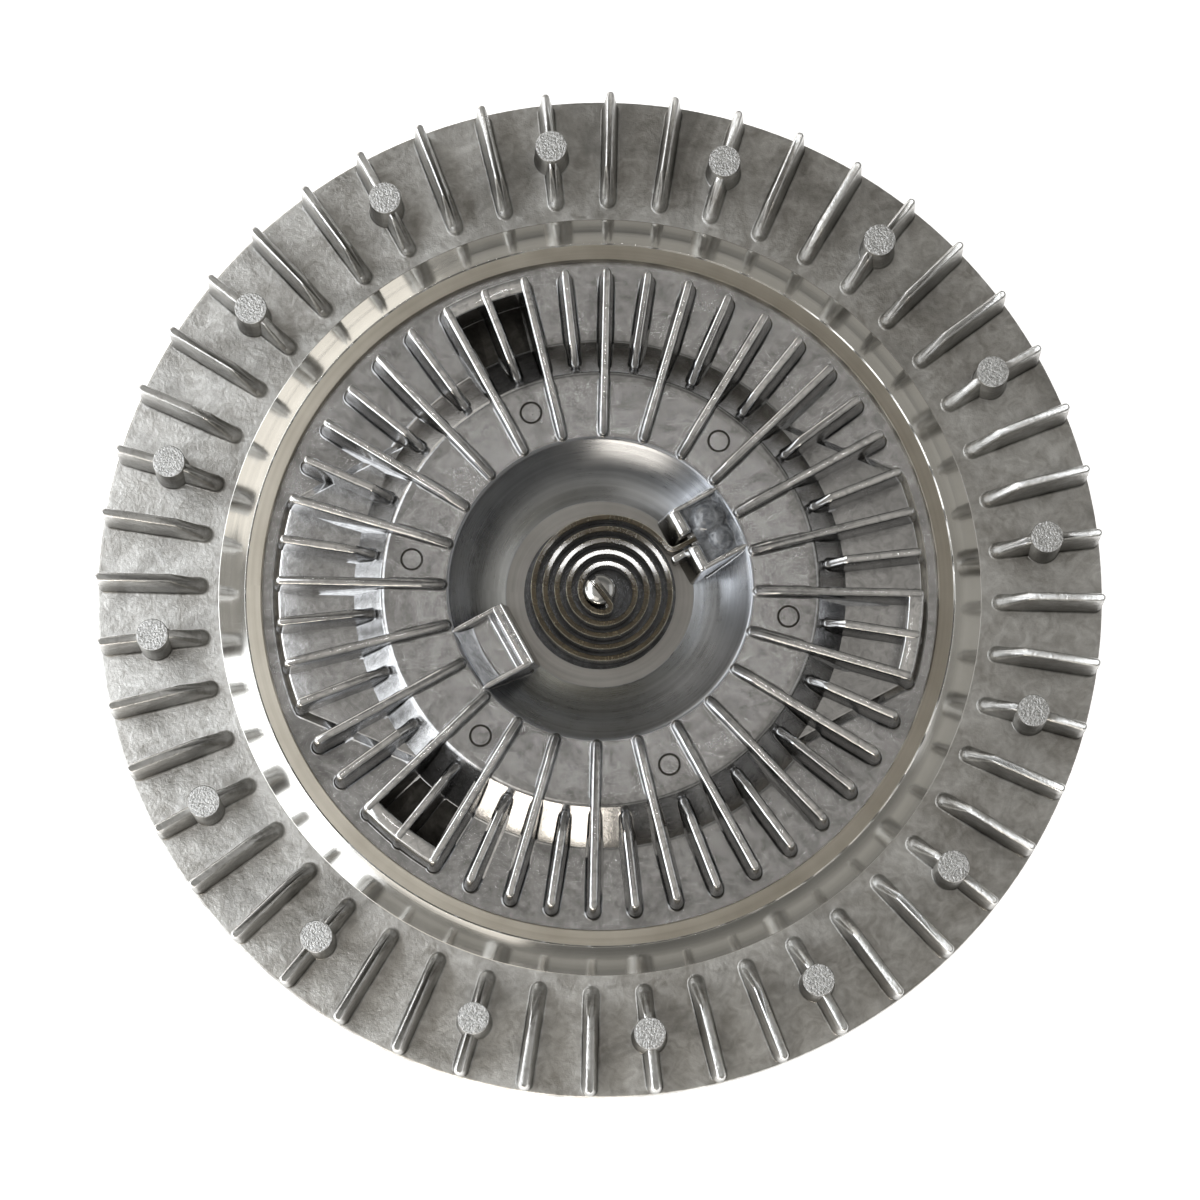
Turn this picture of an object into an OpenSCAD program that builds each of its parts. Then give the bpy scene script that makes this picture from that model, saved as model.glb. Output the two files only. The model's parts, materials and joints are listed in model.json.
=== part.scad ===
// Viscous fan clutch. A finned housing carries the fan and turns on a ball bearing on the drive shaft.
// The rotor drags it round through silicone fluid, and a bimetal coil in the cover's bowl turns the
// valve that lets the fluid in. Sizes are in millimetres. The origin is the centre of the drive
// shaft's rear end face, and +Z runs along the axis towards the finned cover.

/* [Drive shaft] */
// Hexagon of the drive shaft, across its flats
hex_af = 36; // [32:0.5:41]
// Height of the hexagon
hex_h = 13; // [10:0.5:20]
// Height of the round collar between the hexagon and the bearing
collar_h = 3; // [2:0.5:8]
// Bore for the pump shaft, at the crests of its thread
thread_bore_d = 22.38; // [18:0.01:24]
// Depth of the threaded bore
thread_depth = 24; // [18:0.5:30]
// Journal under the bearing
journal_d = 30; // [28:0.1:32]
// Seat of the rotor at the shaft's front end
rotor_seat_d = 26; // [24:0.1:27]

/* [Bearing] */
// Outside diameter of the bearing
bearing_d = 55; // [53:0.1:60]
// Width of the bearing
bearing_w = 13; // [12:0.5:18]
// Diameter of a ball
ball_d = 7.144; // [6:0.001:7.5]
// Number of balls
ball_count = 11; // [9:1:11]
// Thickness of the retaining ring behind the bearing
ring_t = 1.5; // [1.2:0.1:2]
// Depth of the ring's groove in the housing
ring_groove = 1.4; // [1:0.1:2]

/* [Rotor] */
// Diameter of the rotor
rotor_d = 144; // [138:1:148]
// Thickness of the rotor's disc
rotor_t = 4; // [3:0.5:6]
// Radius where the lands begin
land_r = 44; // [42:0.5:48]
// Distance from land to land
land_pitch = 5; // [4.6:0.1:6]
// Thickness of a land
land_t = 2; // [1.6:0.1:2.2]
// Height of a land
land_h = 8; // [5:0.5:10]
// Gap between the tips of the lands and the facing floor
land_gap = 1.2; // [0.8:0.1:2]
// Diameter of the rotor's hub
rotor_hub_d = 42; // [40:0.5:44]

/* [Valve] */
// Thickness of the pump plate
plate_t = 1.5; // [1.2:0.1:2.5]
// Gap between the rotor and the pump plate
plate_gap = 1.8; // [1.6:0.1:3]
// Radius of the gate holes' circle in the pump plate
gate_r = 38; // [34:0.5:42]
// Diameter of a gate hole
gate_d = 6; // [4:0.5:8]
// Thickness of the valve arm
arm_t = 1; // [0.8:0.1:1.5]
// Diameter of the valve shaft
valve_d = 6.8; // [6:0.1:7.4]
// Height of the valve shaft above the bowl's floor
valve_h = 9.7; // [8.5:0.1:11]

/* [Cover] */
// Thickness of the cover's plate
cover_t = 3.5; // [3:0.1:6]
// Height of the rib that carries the pump plate
rib_h = 2.3; // [2.2:0.1:5]
// Width of the ledge that the cover's edge lies on
ledge_w = 3.8; // [3.4:0.1:6]
// Radius of the dome's edge
dome_r = 47.5; // [45:0.5:50]
// Height of the dome above the plate
dome_h = 10.1; // [8:0.1:12]
// Width of the sloping riser between dome and plate
riser_w = 8.5; // [6:0.5:10]
// Radius of the bowl at its rim
bowl_r = 33; // [31:0.5:34]
// Radius of the bowl's flat floor
bowl_floor_r = 20.6; // [20:0.1:22]
// Depth of the bowl below the dome
bowl_depth = 10.1; // [8.5:0.1:11]
// Wall of the dome and riser
cover_wall = 3.4; // [3:0.1:4]
// Number of long fins on the cover, with as many short ones between
cover_fins = 24; // [18:3:27]
// Height of the cover's fins above the plate
cover_fin_h = 12.7; // [11:0.1:15]
// Crest radius of a fin
crest_r = 0.85; // [0.6:0.05:1.1]
// Radius of the long fins' inner tip
long_tip_r = 33.5; // [33.5:0.1:38]
// Length of the ramp at a long fin's inner end
long_ramp = 5.2; // [3:0.1:7]
// Radius of the short fins' inner tip
short_tip_r = 49.3; // [48.5:0.1:52]
// Length of the ramp at a short fin's inner end
short_ramp = 4.5; // [3:0.1:6]
// Distance from the lip's edge to the fins' outer ends
fin_margin = 3.6; // [2.5:0.1:6]
// Draft of the cover's fins
cover_draft = 3; // [1.5:0.5:3.5]
// Height of the two pads on the plate
pad_h = 2.7; // [1:0.1:3.5]
// Width of the bar that closes a pair of fins into a box
box_bar_w = 3.4; // [2.4:0.1:5]

/* [Coil] */
// Radius at which the coil's turns begin, at the anchor
coil_r = 16.6; // [15.5:0.1:17.5]
// Radius at which they end, at the valve shaft
coil_core_r = 4.7; // [4.6:0.1:5.5]
// How far the turns lie off the axis, to the right
coil_shift = 1.05; // [0:0.05:1.1]
// Turns of the coil
coil_turns = 4; // [3:1:5]
// Thickness of the strip
strip_t = 1.15; // [0.6:0.05:1.2]
// Width of the strip
strip_w = 5.5; // [4:0.1:6]
// Direction of the coil's anchor, seen from the front
anchor_a = 30; // [15:5:60]
// Direction of the valve shaft's slot at rest
slot_a = 308; // [290:1:330]

/* [Coil anchors] */
// Width of an anchor over its side walls
anchor_w = 15; // [13:0.1:17]
// Radius of an anchor's inner face
anchor_r = 21; // [20.8:0.1:22]
// Thickness of an anchor's inner bar
anchor_bar_t = 2.8; // [2.2:0.1:3.4]
// Thickness of an anchor's side walls
anchor_wall_t = 1.7; // [1.4:0.1:2.2]
// Depth of an anchor's pocket
anchor_depth = 4.4; // [3.5:0.1:5]
// How far an anchor's inner face leans in towards the bowl's floor
anchor_lean = 1.6; // [0.5:0.1:1.8]

/* [Housing] */
// Diameter over the fan flange
housing_d = 220; // [214:1:236]
// Thickness of the fan flange at its rim
flange_t = 6; // [5:0.5:9]
// Height of the cover's plate above the rim
plate_rise = 0.8; // [0.4:0.1:1.2]
// Height of the lip above the rim
lip_h = 2.6; // [2.2:0.1:4]
// How far the lip reaches in over the cover's edge
lip_reach = 3.4; // [2.4:0.1:3.6]
// Thickness of the housing's outer wall
wall_t = 5.5; // [4.5:0.5:6]
// Thickness of the housing's rear wall
rear_wall_t = 5.5; // [4:0.5:8]
// Stop in front of the bearing
stop_t = 2.5; // [2:0.5:4]
// Wall round the bearing
hub_wall = 8; // [6:0.5:10]
// Number of fins on the flange
flange_fins = 48; // [24:24:72]
// Height of the flange's fins above the rim
flange_fin_h = 12.5; // [10:0.5:13]
// Draft of the flange's fins
flange_draft = 3.5; // [2:0.5:5]
// Length of the ramp at a flange fin's inner end
flange_ramp = 7; // [4:0.5:9]
// Diameter of the circle of bosses
boss_circle_d = 195.2; // [192:0.1:200]
// Diameter of a boss at its top
boss_d = 7; // [6.6:0.1:8]
// Height of a boss above the rim
boss_h = 14.6; // [13.5:0.1:16]
// Tapped fan bolt holes, at the crests of their thread
fan_bolt_d = 5; // [4:0.1:5.2]
// Depth of the fan bolt holes
fan_bolt_depth = 13; // [10:0.5:15]
// Number of fan bolts
fan_bolts = 4; // [4:4:8]
// Number of fins on the rear wall
rear_fins = 24; // [18:2:30]
// Height of the rear fins
rear_fin_h = 10; // [6:0.5:11]

/* [Hidden] */
$fn = 96;

// Clearances: press fits, running fits, loose neighbours and how deep a cast feature roots in its wall
press_gap = 0.01;
run_gap = 0.04;
loose_gap = 0.3;
rotor_gap = 1.5;
root = 1;

// Broken edges of the castings, and what stands behind the bearing's ring
edge_break = 0.4;
ring_cover = 2;

// Wall outside the cover's seat, the fillet at its foot and the space from there to the flange's fins
lip_wall = 5.2;
lip_fillet = 1.6;
tip_gap = 2.1;

// How high a fin's blunt nose stands on what carries it
flange_nose = 2.5;
cover_nose = 1.2;

// Groove for the cover's seal: its depth and the land left on either side
groove_depth = 1.9;
groove_land = 0.8;

// Rib under the cover that the pump plate is riveted to, and the plate's clearance in the chamber
rib_w = 11;
plate_inset = 2;
rivets = 6;

// Flats round a fin's crest
crest_flats = 5;

// Heights from the shaft's rear face forward, each from the one before
bearing_z = hex_h + collar_h;
bearing_top_z = bearing_z + bearing_w;
floor_z = bearing_top_z + stop_t;
rear_wall_z = floor_z - rear_wall_t;
rotor_z = floor_z + land_gap + land_h;
rotor_top_z = rotor_z + rotor_t;
plate_z = rotor_top_z + plate_gap;
plate_top_z = plate_z + plate_t;
arm_z = plate_top_z + loose_gap;
under_floor_z = arm_z + arm_t + loose_gap;
cover_z = plate_top_z + rib_h;
cover_top_z = cover_z + cover_t;
dome_z = cover_top_z + dome_h;
bowl_z = dome_z - bowl_depth;
valve_z = bowl_z + valve_h;
coil_z = bowl_z + 2 * loose_gap;
rim_z = cover_top_z - plate_rise;
flange_z = rim_z - flange_t;
lip_z = rim_z + lip_h;
crest_z = cover_top_z + cover_fin_h;
ring_z = bearing_z - ring_t - run_gap;
hub_z = ring_z - ring_cover;
boss_top_z = rim_z + boss_h;

// Radii from the axis out
rim_r = housing_d / 2;
bearing_r = bearing_d / 2;
rotor_r = rotor_d / 2;
chamber_r = rotor_r + rotor_gap;
plate_r = chamber_r - plate_inset;
rib_r = plate_r - rib_w;
seat_r = chamber_r + ledge_w;
cover_r = seat_r - loose_gap / 3;
lip_edge_r = seat_r - lip_reach;
lip_r = seat_r + lip_wall;
lip_foot_r = lip_r + lip_fillet;
wall_r = chamber_r + wall_t;
hub_r = bearing_r + hub_wall;
wall_chamfer = 5;
hub_draft = 2;
riser_r = dome_r + riser_w;
cover_fin_r = lip_edge_r - fin_margin;
flange_tip_r = lip_foot_r + tip_gap;
boss_r = boss_circle_d / 2;
rivet_r = (rib_r + plate_r) / 2;
valve_r = valve_d / 2;
valve_bore_r = valve_r + run_gap;

// Bearing: ball circle, raceways and the shoulders on each side of the balls
pitch_r = (journal_d + bearing_d) / 4;
race_r = ball_d / 2 + run_gap;
shoulder = ball_d * 0.3;
inner_shoulder_r = pitch_r - shoulder;
outer_shoulder_r = pitch_r + shoulder;
bearing_mid_z = bearing_z + bearing_w / 2;
seal_t = 1;
seal_groove = 0.6;
seal_inset = 0.3;

function polar(r, a) = [r * cos(a), r * sin(a)];
function arc(centre, r, a0, a1, steps) =
    [for (i = [0 : steps]) centre + polar(r, a0 + (a1 - a0) * i / steps)];

// Copies its children evenly round the axis
module around(count, start = 0) {
    for (i = [0 : count - 1]) rotate([0, 0, start + 360 * i / count]) children();
}

// Section of a drafted fin with a round crest of small flats, standing on the X axis
module fin_section(h, r, draft) {
    shoulder_x = r * cos(draft);
    shoulder_y = h - r + r * sin(draft);
    foot_x = shoulder_x + shoulder_y * tan(draft);
    polygon(concat([[-foot_x, 0], [foot_x, 0]], arc([0, h - r], r, draft, 180 - draft, crest_flats)));
}

// Radial fin: the drafted section drawn outwards, trimmed to a side outline of [radius, height]
module fin(outline, foot_z, top_z, draft) {
    reach = max([for (p = outline) p[0]]) + root;
    intersection() {
        translate([0, 0, foot_z]) rotate([90, 0, 90]) linear_extrude(reach)
            fin_section(top_z - foot_z, crest_r, draft);
        rotate([90, 0, 0]) linear_extrude(4 * boss_d, center = true) polygon(outline);
    }
}

// Housing

// Lands stand in the gaps between the rotor's lands
land_count = floor((rotor_r - land_t - land_r) / land_pitch) + 1;
function rotor_land_r(i) = land_r + i * land_pitch;
function housing_land_r(i) = rotor_land_r(i) + land_pitch / 2;
function land_outline(r, low, high) =
    [[r - land_t / 2, low], [r - land_t / 2, high], [r + land_t / 2, high], [r + land_t / 2, low]];

// Fins of the flange, with a ramp at the inner end
module flange_fin() {
    foot_z = rim_z - root;
    top_z = rim_z + flange_fin_h;
    end_r = rim_r - edge_break / 2;
    fin([[flange_tip_r, foot_z], [flange_tip_r, rim_z + flange_nose - edge_break],
        [flange_tip_r + edge_break, rim_z + flange_nose], [flange_tip_r + flange_ramp, top_z],
        [end_r - 2 * edge_break, top_z], [end_r, top_z - 2 * edge_break], [end_r, foot_z]],
        foot_z, top_z, flange_draft);
}

// How much wider a boss is at its foot
boss_spread = 0.4;

// Drafted boss with a broken top edge
module boss() {
    foot_r = boss_d / 2 + boss_spread;
    top_r = boss_d / 2;
    depth = 1.6 * root;
    translate([boss_r, 0, rim_z - depth]) cylinder(h = boss_h + depth - edge_break, r1 = foot_r, r2 = top_r);
    translate([boss_r, 0, boss_top_z - edge_break])
        cylinder(h = edge_break, r1 = top_r, r2 = top_r - edge_break);
}

// Fins of the rear wall, which run out at the wall's chamfered edge
module rear_fin() {
    low_z = rear_wall_z - rear_fin_h;
    rotate([180, 0, 0]) fin([[hub_r - root, -rear_wall_z - root], [hub_r - root, -low_z],
        [wall_r - 3 * wall_chamfer, -low_z], [wall_r - wall_chamfer + root, -rear_wall_z - root / 2],
        [wall_r - wall_chamfer + root, -rear_wall_z - 2 * root]],
        -rear_wall_z - 2 * root, -low_z, cover_draft);
}

// Radius of the lip's rolled edge
lip_round = 2;

// Section of the housing: rear hub, rear wall, fan flange, rolled lip, cover seat, chamber, bearing seat
function housing_outline() = concat(
    [[bearing_r + press_gap, hub_z + root], [bearing_r + root, hub_z], [hub_r, hub_z],
    [hub_r + hub_draft, rear_wall_z],
    [wall_r - wall_chamfer, rear_wall_z], [wall_r, rear_wall_z + wall_chamfer], [wall_r, flange_z],
    [rim_r - 2 * edge_break, flange_z], [rim_r, flange_z + 2 * edge_break], [rim_r, rim_z - edge_break],
    [rim_r - edge_break, rim_z], [lip_foot_r, rim_z], [lip_r, rim_z + edge_break]],
    arc([seat_r + lip_round / 4, lip_z - lip_round], lip_round, 50, 90, 4),
    [[seat_r, lip_z], [seat_r - edge_break / 4, lip_z - edge_break / 2],
    [lip_edge_r, (lip_z + cover_top_z) / 2], [lip_edge_r, cover_top_z + press_gap],
    [seat_r, cover_top_z + press_gap], [seat_r, cover_z]],
    [[seat_r - groove_land, cover_z], [seat_r - groove_land, cover_z - groove_depth],
    [chamber_r + groove_land, cover_z - groove_depth], [chamber_r + groove_land, cover_z]],
    [[chamber_r, cover_z], [chamber_r, floor_z]],
    [for (i = [land_count - 2 : -1 : 0], p = land_outline(housing_land_r(i), floor_z, rotor_z - land_gap))
        [2 * housing_land_r(i) - p[0], p[1]]],
    [[outer_shoulder_r, floor_z], [outer_shoulder_r, bearing_top_z], [bearing_r + press_gap, bearing_top_z],
    [bearing_r + press_gap, bearing_z], [bearing_r + ring_groove, bearing_z],
    [bearing_r + ring_groove, ring_z - run_gap], [bearing_r + press_gap, ring_z - run_gap]]);

module housing_body() {
    color([0.72, 0.71, 0.69]) difference() {
        union() {
            rotate_extrude() polygon(housing_outline());
            around(flange_fins) flange_fin();
            around(flange_fins / 3, 360 / flange_fins) boss();
            around(rear_fins) rear_fin();
        }
        around(fan_bolts, 360 / flange_fins) translate([boss_r, 0, flange_z - root])
            cylinder(h = fan_bolt_depth + root, d = fan_bolt_d);
    }
}

// Cover

// Concave wall of the bowl, from the floor's edge up to the rim
bowl_run = bowl_r - bowl_floor_r;
bowl_sag = 1.2;
function bowl_wall() = [for (i = [0 : 10]) let (u = i / 10)
    [bowl_floor_r + bowl_run * u, bowl_z + bowl_depth * u - 4 * bowl_sag * u * (1 - u)]];

// Space above the bowl's surface, lowered by drop
module bowl_space(drop) {
    translate([0, 0, -drop]) rotate_extrude() polygon(concat([[0, bowl_z]], bowl_wall(),
        [[bowl_r, dome_z + 4 * root], [0, dome_z + 4 * root]]));
}

// Rounding of the dome's edge and the bowl's rim, and the step from the rib to the reservoir's roof
dome_round = 1.6;
rim_round = 1;
rib_step = 0.5;

// Section of the cover: reservoir side first, then the plate, riser, dome and bowl
function cover_outline() = concat(
    [[valve_bore_r, under_floor_z], [bowl_floor_r + cover_wall, under_floor_z],
    [bowl_r + cover_wall, dome_z - cover_wall], [dome_r - cover_wall, dome_z - cover_wall],
    [riser_r - cover_wall, cover_z + rib_step], [rib_r, cover_z + rib_step], [rib_r, plate_top_z],
    [plate_r, plate_top_z], [plate_r, cover_z], [cover_r, cover_z], [cover_r, cover_top_z],
    [riser_r, cover_top_z]],
    arc([dome_r - dome_round, dome_z - dome_round], dome_round, 40, 90, 4),
    arc([bowl_r + rim_round, dome_z - rim_round], rim_round, 90, 140, 4),
    [for (i = [9 : -1 : 0]) bowl_wall()[i]],
    [[valve_bore_r + edge_break, bowl_z], [valve_bore_r, bowl_z - edge_break]]);

// Outer end of a cover fin, from its crest down to its foot
function fin_end() = [[cover_fin_r - 2 * edge_break, crest_z], [cover_fin_r, crest_z - 2 * edge_break],
    [cover_fin_r + edge_break, cover_top_z - root]];

module long_fin() {
    nose_z = dome_z + cover_nose;
    fin(concat([[long_tip_r, dome_z - root], [long_tip_r, nose_z - edge_break],
        [long_tip_r + edge_break, nose_z], [long_tip_r + long_ramp, crest_z]], fin_end(),
        [[riser_r, cover_top_z - root], [dome_r - root, dome_z - 1.5 * root]]),
        cover_top_z - root, crest_z, cover_draft);
}

module short_fin() {
    nose_z = dome_z - (short_tip_r - dome_r) * dome_h / riser_w + cover_nose;
    fin(concat([[short_tip_r, cover_top_z - root], [short_tip_r, nose_z - edge_break],
        [short_tip_r + edge_break, nose_z], [short_tip_r + short_ramp, crest_z]], fin_end()),
        cover_top_z - root, crest_z, cover_draft);
}

// Bar that joins the ends of two long fins into a box
module fin_box(first_a) {
    pitch_a = 360 / cover_fins;
    depth = 1.4 * root;
    outer_r = cover_fin_r + 0.2;
    half_a = pitch_a / 2 + 0.9;
    rotate([0, 0, first_a + pitch_a / 2]) translate([0, 0, cover_top_z - depth])
        linear_extrude(cover_fin_h + depth - loose_gap) intersection() {
            difference() {
                circle(outer_r);
                circle(outer_r - box_bar_w);
            }
            polygon([[0, 0], polar(2 * outer_r, -half_a), polar(2 * outer_r, half_a)]);
        }
}

// Raised pad on the plate beside the riser, and the direction of the first
pad_a = 4;
module pad() {
    pad_r = lip_edge_r - 2.4;
    outer_a = 19;
    inner_a = 38;
    side = [polar(riser_r, inner_a), polar(pad_r, outer_a), polar(1.2 * pad_r, outer_a / 2)];
    translate([0, 0, cover_top_z - 0.8 * root]) linear_extrude(pad_h + 0.8 * root) difference() {
        intersection() {
            circle(pad_r);
            polygon(concat([[0, 0]], [for (p = side) [p[0], -p[1]]], reversed(side)));
        }
        circle(dome_r);
    }
}

// Block on the radius of an anchor, between two radii and two heights
module anchor_block(inner, outer, width, low, high) {
    translate([inner, -width / 2, low]) cube([outer - inner, width, high - low]);
}

// Pocket in the bowl's wall behind a bar that leans out; the clamp and the plain cradle facing it share it
module anchor() {
    low = bowl_z - root;
    high = dome_z + loose_gap / 2;
    pocket_w = anchor_w - 2 * anchor_wall_t;
    intersection() {
        difference() {
            rotate([90, 0, 0]) linear_extrude(anchor_w, center = true) polygon([[anchor_r - anchor_lean, low],
                [anchor_r, high], [bowl_r + root, high], [bowl_r + root, low]]);
            anchor_block(anchor_r + anchor_bar_t, bowl_r + 2 * root, pocket_w, dome_z - anchor_depth,
                high + root);
        }
        bowl_space(1.5 * root);
    }
}

// Two short grooves along the top of the cradle's bar
module cradle_grooves() {
    groove_w = anchor_bar_t / 3;
    groove_l = anchor_w / 3;
    for (side = [-1, 1]) translate([0, side * anchor_w / 5, 0])
        anchor_block(anchor_r + groove_w, anchor_r + 2 * groove_w, groove_l, dome_z - groove_w,
            dome_z + root);
}

// Finger of the clamp that the strip's bend leans on
module clamp_finger() {
    finger_w = 1.6;
    finger_l = 3.4;
    translate([0, -(slot_w + finger_w) / 2, 0]) anchor_block(anchor_r - finger_l, anchor_r + root, finger_w,
        bowl_z - 1.3 * root, coil_z + strip_w);
}

// Six round ejector marks on the dome and six at the cover's edge
module ejector_marks() {
    mark_depth = 0.3;
    mark_r = 2.5;
    groove_w = 0.5;
    around(6, 52.5) translate([(dome_r + bowl_r) / 2 + mark_r / 2, 0, dome_z - mark_depth]) difference() {
        cylinder(h = root, r = mark_r);
        translate([0, 0, -root]) cylinder(h = 3 * root, r = mark_r - groove_w);
    }
    around(6, 36) translate([lip_edge_r - mark_r / 4, 0, cover_top_z - mark_depth])
        cylinder(h = root, r = mark_r);
}

module front_cover() {
    color([0.68, 0.69, 0.71]) difference() {
        union() {
            rotate_extrude() polygon(cover_outline());
            around(cover_fins) long_fin();
            around(cover_fins, 180 / cover_fins) short_fin();
            for (a = [0, 120, 240]) fin_box(a - 360 / cover_fins);
            around(2, pad_a) pad();
            around(2, anchor_a) anchor();
            rotate([0, 0, anchor_a]) clamp_finger();
        }
        rotate([0, 0, anchor_a]) anchor_slot();
        rotate([0, 0, anchor_a + 180]) cradle_grooves();
        ejector_marks();
        around(rivets) translate([rivet_r, 0, plate_top_z - root])
            cylinder(h = rib_h + root, r = rivet_shank_r);
    }
}

module cover_seal_ring() {
    groove_w = ledge_w - 2 * groove_land;
    section_r = min(groove_w, groove_depth) / 2 - run_gap;
    color([0.12, 0.12, 0.12]) translate([0, 0, cover_z - groove_depth / 2]) rotate_extrude()
        translate([(chamber_r + seat_r) / 2, 0]) circle(section_r);
}

// Coil

tail_bend = 2;
hook_bend = 1.2;
tail_end_r = anchor_r + anchor_bar_t + 3;
coil_steps = 36 * coil_turns + 24;
function turned(points, a) =
    [for (p = points) [p[0] * cos(a) - p[1] * sin(a), p[0] * sin(a) + p[1] * cos(a)]];

// Centre of the turns, seen along the anchor and along the slot
coil_centre = [coil_shift, 0];
from_anchor = turned([coil_centre], -anchor_a)[0];
from_slot = turned([coil_centre], -slot_a)[0];

// Bend of the tail outside the turns and of the hook inside them, each touching the anchor's or slot's line
tail_at = [from_anchor[0] + sqrt((coil_r + tail_bend) ^ 2 - (tail_bend - from_anchor[1]) ^ 2), tail_bend];
hook_at = [from_slot[0] + sqrt((coil_core_r - hook_bend) ^ 2 - (hook_bend + from_slot[1]) ^ 2), -hook_bend];
tail_a = atan2(tail_at[1] - from_anchor[1], tail_at[0] - from_anchor[0]);
hook_a = atan2(hook_at[1] - from_slot[1], hook_at[0] - from_slot[0]);
coil_start_a = anchor_a + tail_a;
coil_end_a = slot_a + hook_a + 360 * coil_turns;

// Middle line of the strip: out of the anchor, round the turns and into the shaft's slot
function coil_line() = concat(
    turned([[tail_end_r, 0], [anchor_r, 0]], anchor_a),
    turned(arc(tail_at, tail_bend, 270, 180 + tail_a, 6), anchor_a),
    [for (i = [1 : coil_steps]) let (u = i / coil_steps) coil_centre
        + polar(coil_r + (coil_core_r - coil_r) * u, coil_start_a + (coil_end_a - coil_start_a) * u)],
    turned(arc(hook_at, hook_bend, hook_a + 15, 90, 5), slot_a),
    turned([[-valve_r / 2, 0]], slot_a));

// Points on one side of a line, half a thickness away
function beside(line, offset) = [for (i = [0 : len(line) - 1])
    let (ahead = line[min(i + 1, len(line) - 1)] - line[max(i - 1, 0)], along = ahead / norm(ahead))
    line[i] + offset * [-along[1], along[0]]];
function reversed(points) = [for (i = [len(points) - 1 : -1 : 0]) points[i]];

module bimetal_coil() {
    line = coil_line();
    color([0.42, 0.36, 0.22]) translate([0, 0, coil_z]) linear_extrude(strip_w)
        polygon(concat(beside(line, strip_t / 2), reversed(beside(line, -strip_t / 2))));
}

// Slot through the anchor's inner bar for the strip's end
slot_w = strip_t + 2 * loose_gap;
module anchor_slot() {
    anchor_block(anchor_r - anchor_lean - root, tail_end_r + loose_gap, slot_w, coil_z - loose_gap,
        dome_z + 2 * root);
}

// Sealant poured into the pocket round the strip's end, with a drop standing on it
module anchor_sealant() {
    drop_r = 6;
    drop_h = 2;
    inner = anchor_r + anchor_bar_t + press_gap;
    level = dome_z - 1.4;
    width = anchor_w - 2 * anchor_wall_t - 2 * press_gap;
    color([0.33, 0.36, 0.40]) rotate([0, 0, anchor_a]) difference() {
        intersection() {
            union() {
                anchor_block(inner, bowl_r, width, dome_z - anchor_depth + press_gap, level);
                intersection() {
                    translate([inner + 4, 1, level + drop_h - drop_r]) sphere(drop_r);
                    anchor_block(inner, bowl_r, width, level - root, dome_z + drop_h);
                }
            }
            bowl_space(-press_gap);
        }
        anchor_block(inner - root, tail_end_r + press_gap, strip_t + 2 * press_gap, bowl_z,
            coil_z + strip_w + press_gap);
    }
}

// Valve

tenon_r = 2.2;
head_t = 0.7;
head_r = 3.2;
head_edge = 0.2;
arm_hub_r = 6;
paddle_r = gate_d / 2 + 2;
seal_section_r = 0.75;
seal_groove_w = 1.8;
pin_edge = 0.5;
valve_seal_z = (under_floor_z + bowl_z) / 2;

module valve_shaft() {
    slot_z = coil_z - loose_gap;
    groove_r = valve_bore_r - run_gap - 2 * seal_section_r;
    groove_low_z = valve_seal_z - seal_groove_w / 2;
    color([0.80, 0.80, 0.79]) difference() {
        rotate_extrude() polygon([[0, arm_z - head_t], [head_r - head_edge, arm_z - head_t],
            [head_r, arm_z - head_t + head_edge], [head_r, arm_z], [tenon_r, arm_z], [tenon_r, arm_z + arm_t],
            [valve_r, arm_z + arm_t], [valve_r, groove_low_z], [groove_r, groove_low_z],
            [groove_r, groove_low_z + seal_groove_w], [valve_r, groove_low_z + seal_groove_w],
            [valve_r, valve_z - pin_edge], [valve_r - pin_edge, valve_z], [0, valve_z]]);
        rotate([0, 0, slot_a]) translate([-valve_d, -slot_w / 2, slot_z])
            cube([2 * valve_d, slot_w, valve_z - slot_z + root]);
    }
}

module valve_shaft_seal() {
    color([0.10, 0.10, 0.10]) translate([0, 0, valve_seal_z]) rotate_extrude()
        translate([valve_bore_r - run_gap - seal_section_r, 0]) circle(seal_section_r);
}

module valve_arm() {
    arm_w = 7;
    color([0.60, 0.61, 0.62]) translate([0, 0, arm_z]) linear_extrude(arm_t) difference() {
        union() {
            circle(arm_hub_r);
            square([2 * gate_r, arm_w], center = true);
            for (x = [-gate_r, gate_r]) translate([x, 0]) circle(paddle_r);
        }
        circle(tenon_r + press_gap);
    }
}

module pump_plate() {
    color([0.58, 0.59, 0.60]) difference() {
        translate([0, 0, plate_z]) cylinder(h = plate_t, r = plate_r);
        translate([0, 0, arm_z - head_t - loose_gap]) cylinder(h = plate_t, r = head_r + 1);
        around(2) translate([gate_r, 0, plate_z - root]) cylinder(h = plate_t + 2 * root, d = gate_d);
        around(2, 90) translate([rib_r - 4, 0, plate_z - root]) cylinder(h = plate_t + 2 * root, d = drain_d);
        around(rivets) translate([rivet_r, 0, plate_z - root])
            cylinder(h = plate_t + 2 * root, r = rivet_shank_r);
    }
}

drain_d = 3;
rivet_shank_r = 1.5;
rivet_head_r = 2.8;
rivet_head_t = 0.9;

module pump_plate_rivets() {
    shank_r = rivet_shank_r - press_gap;
    color([0.70, 0.70, 0.70]) around(rivets) translate([rivet_r, 0, plate_z]) {
        cylinder(h = plate_t + rib_h - press_gap, r = shank_r);
        translate([0, 0, -rivet_head_t])
            cylinder(h = rivet_head_t, r1 = rivet_head_r - head_edge, r2 = rivet_head_r);
    }
}

// Drive

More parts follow.
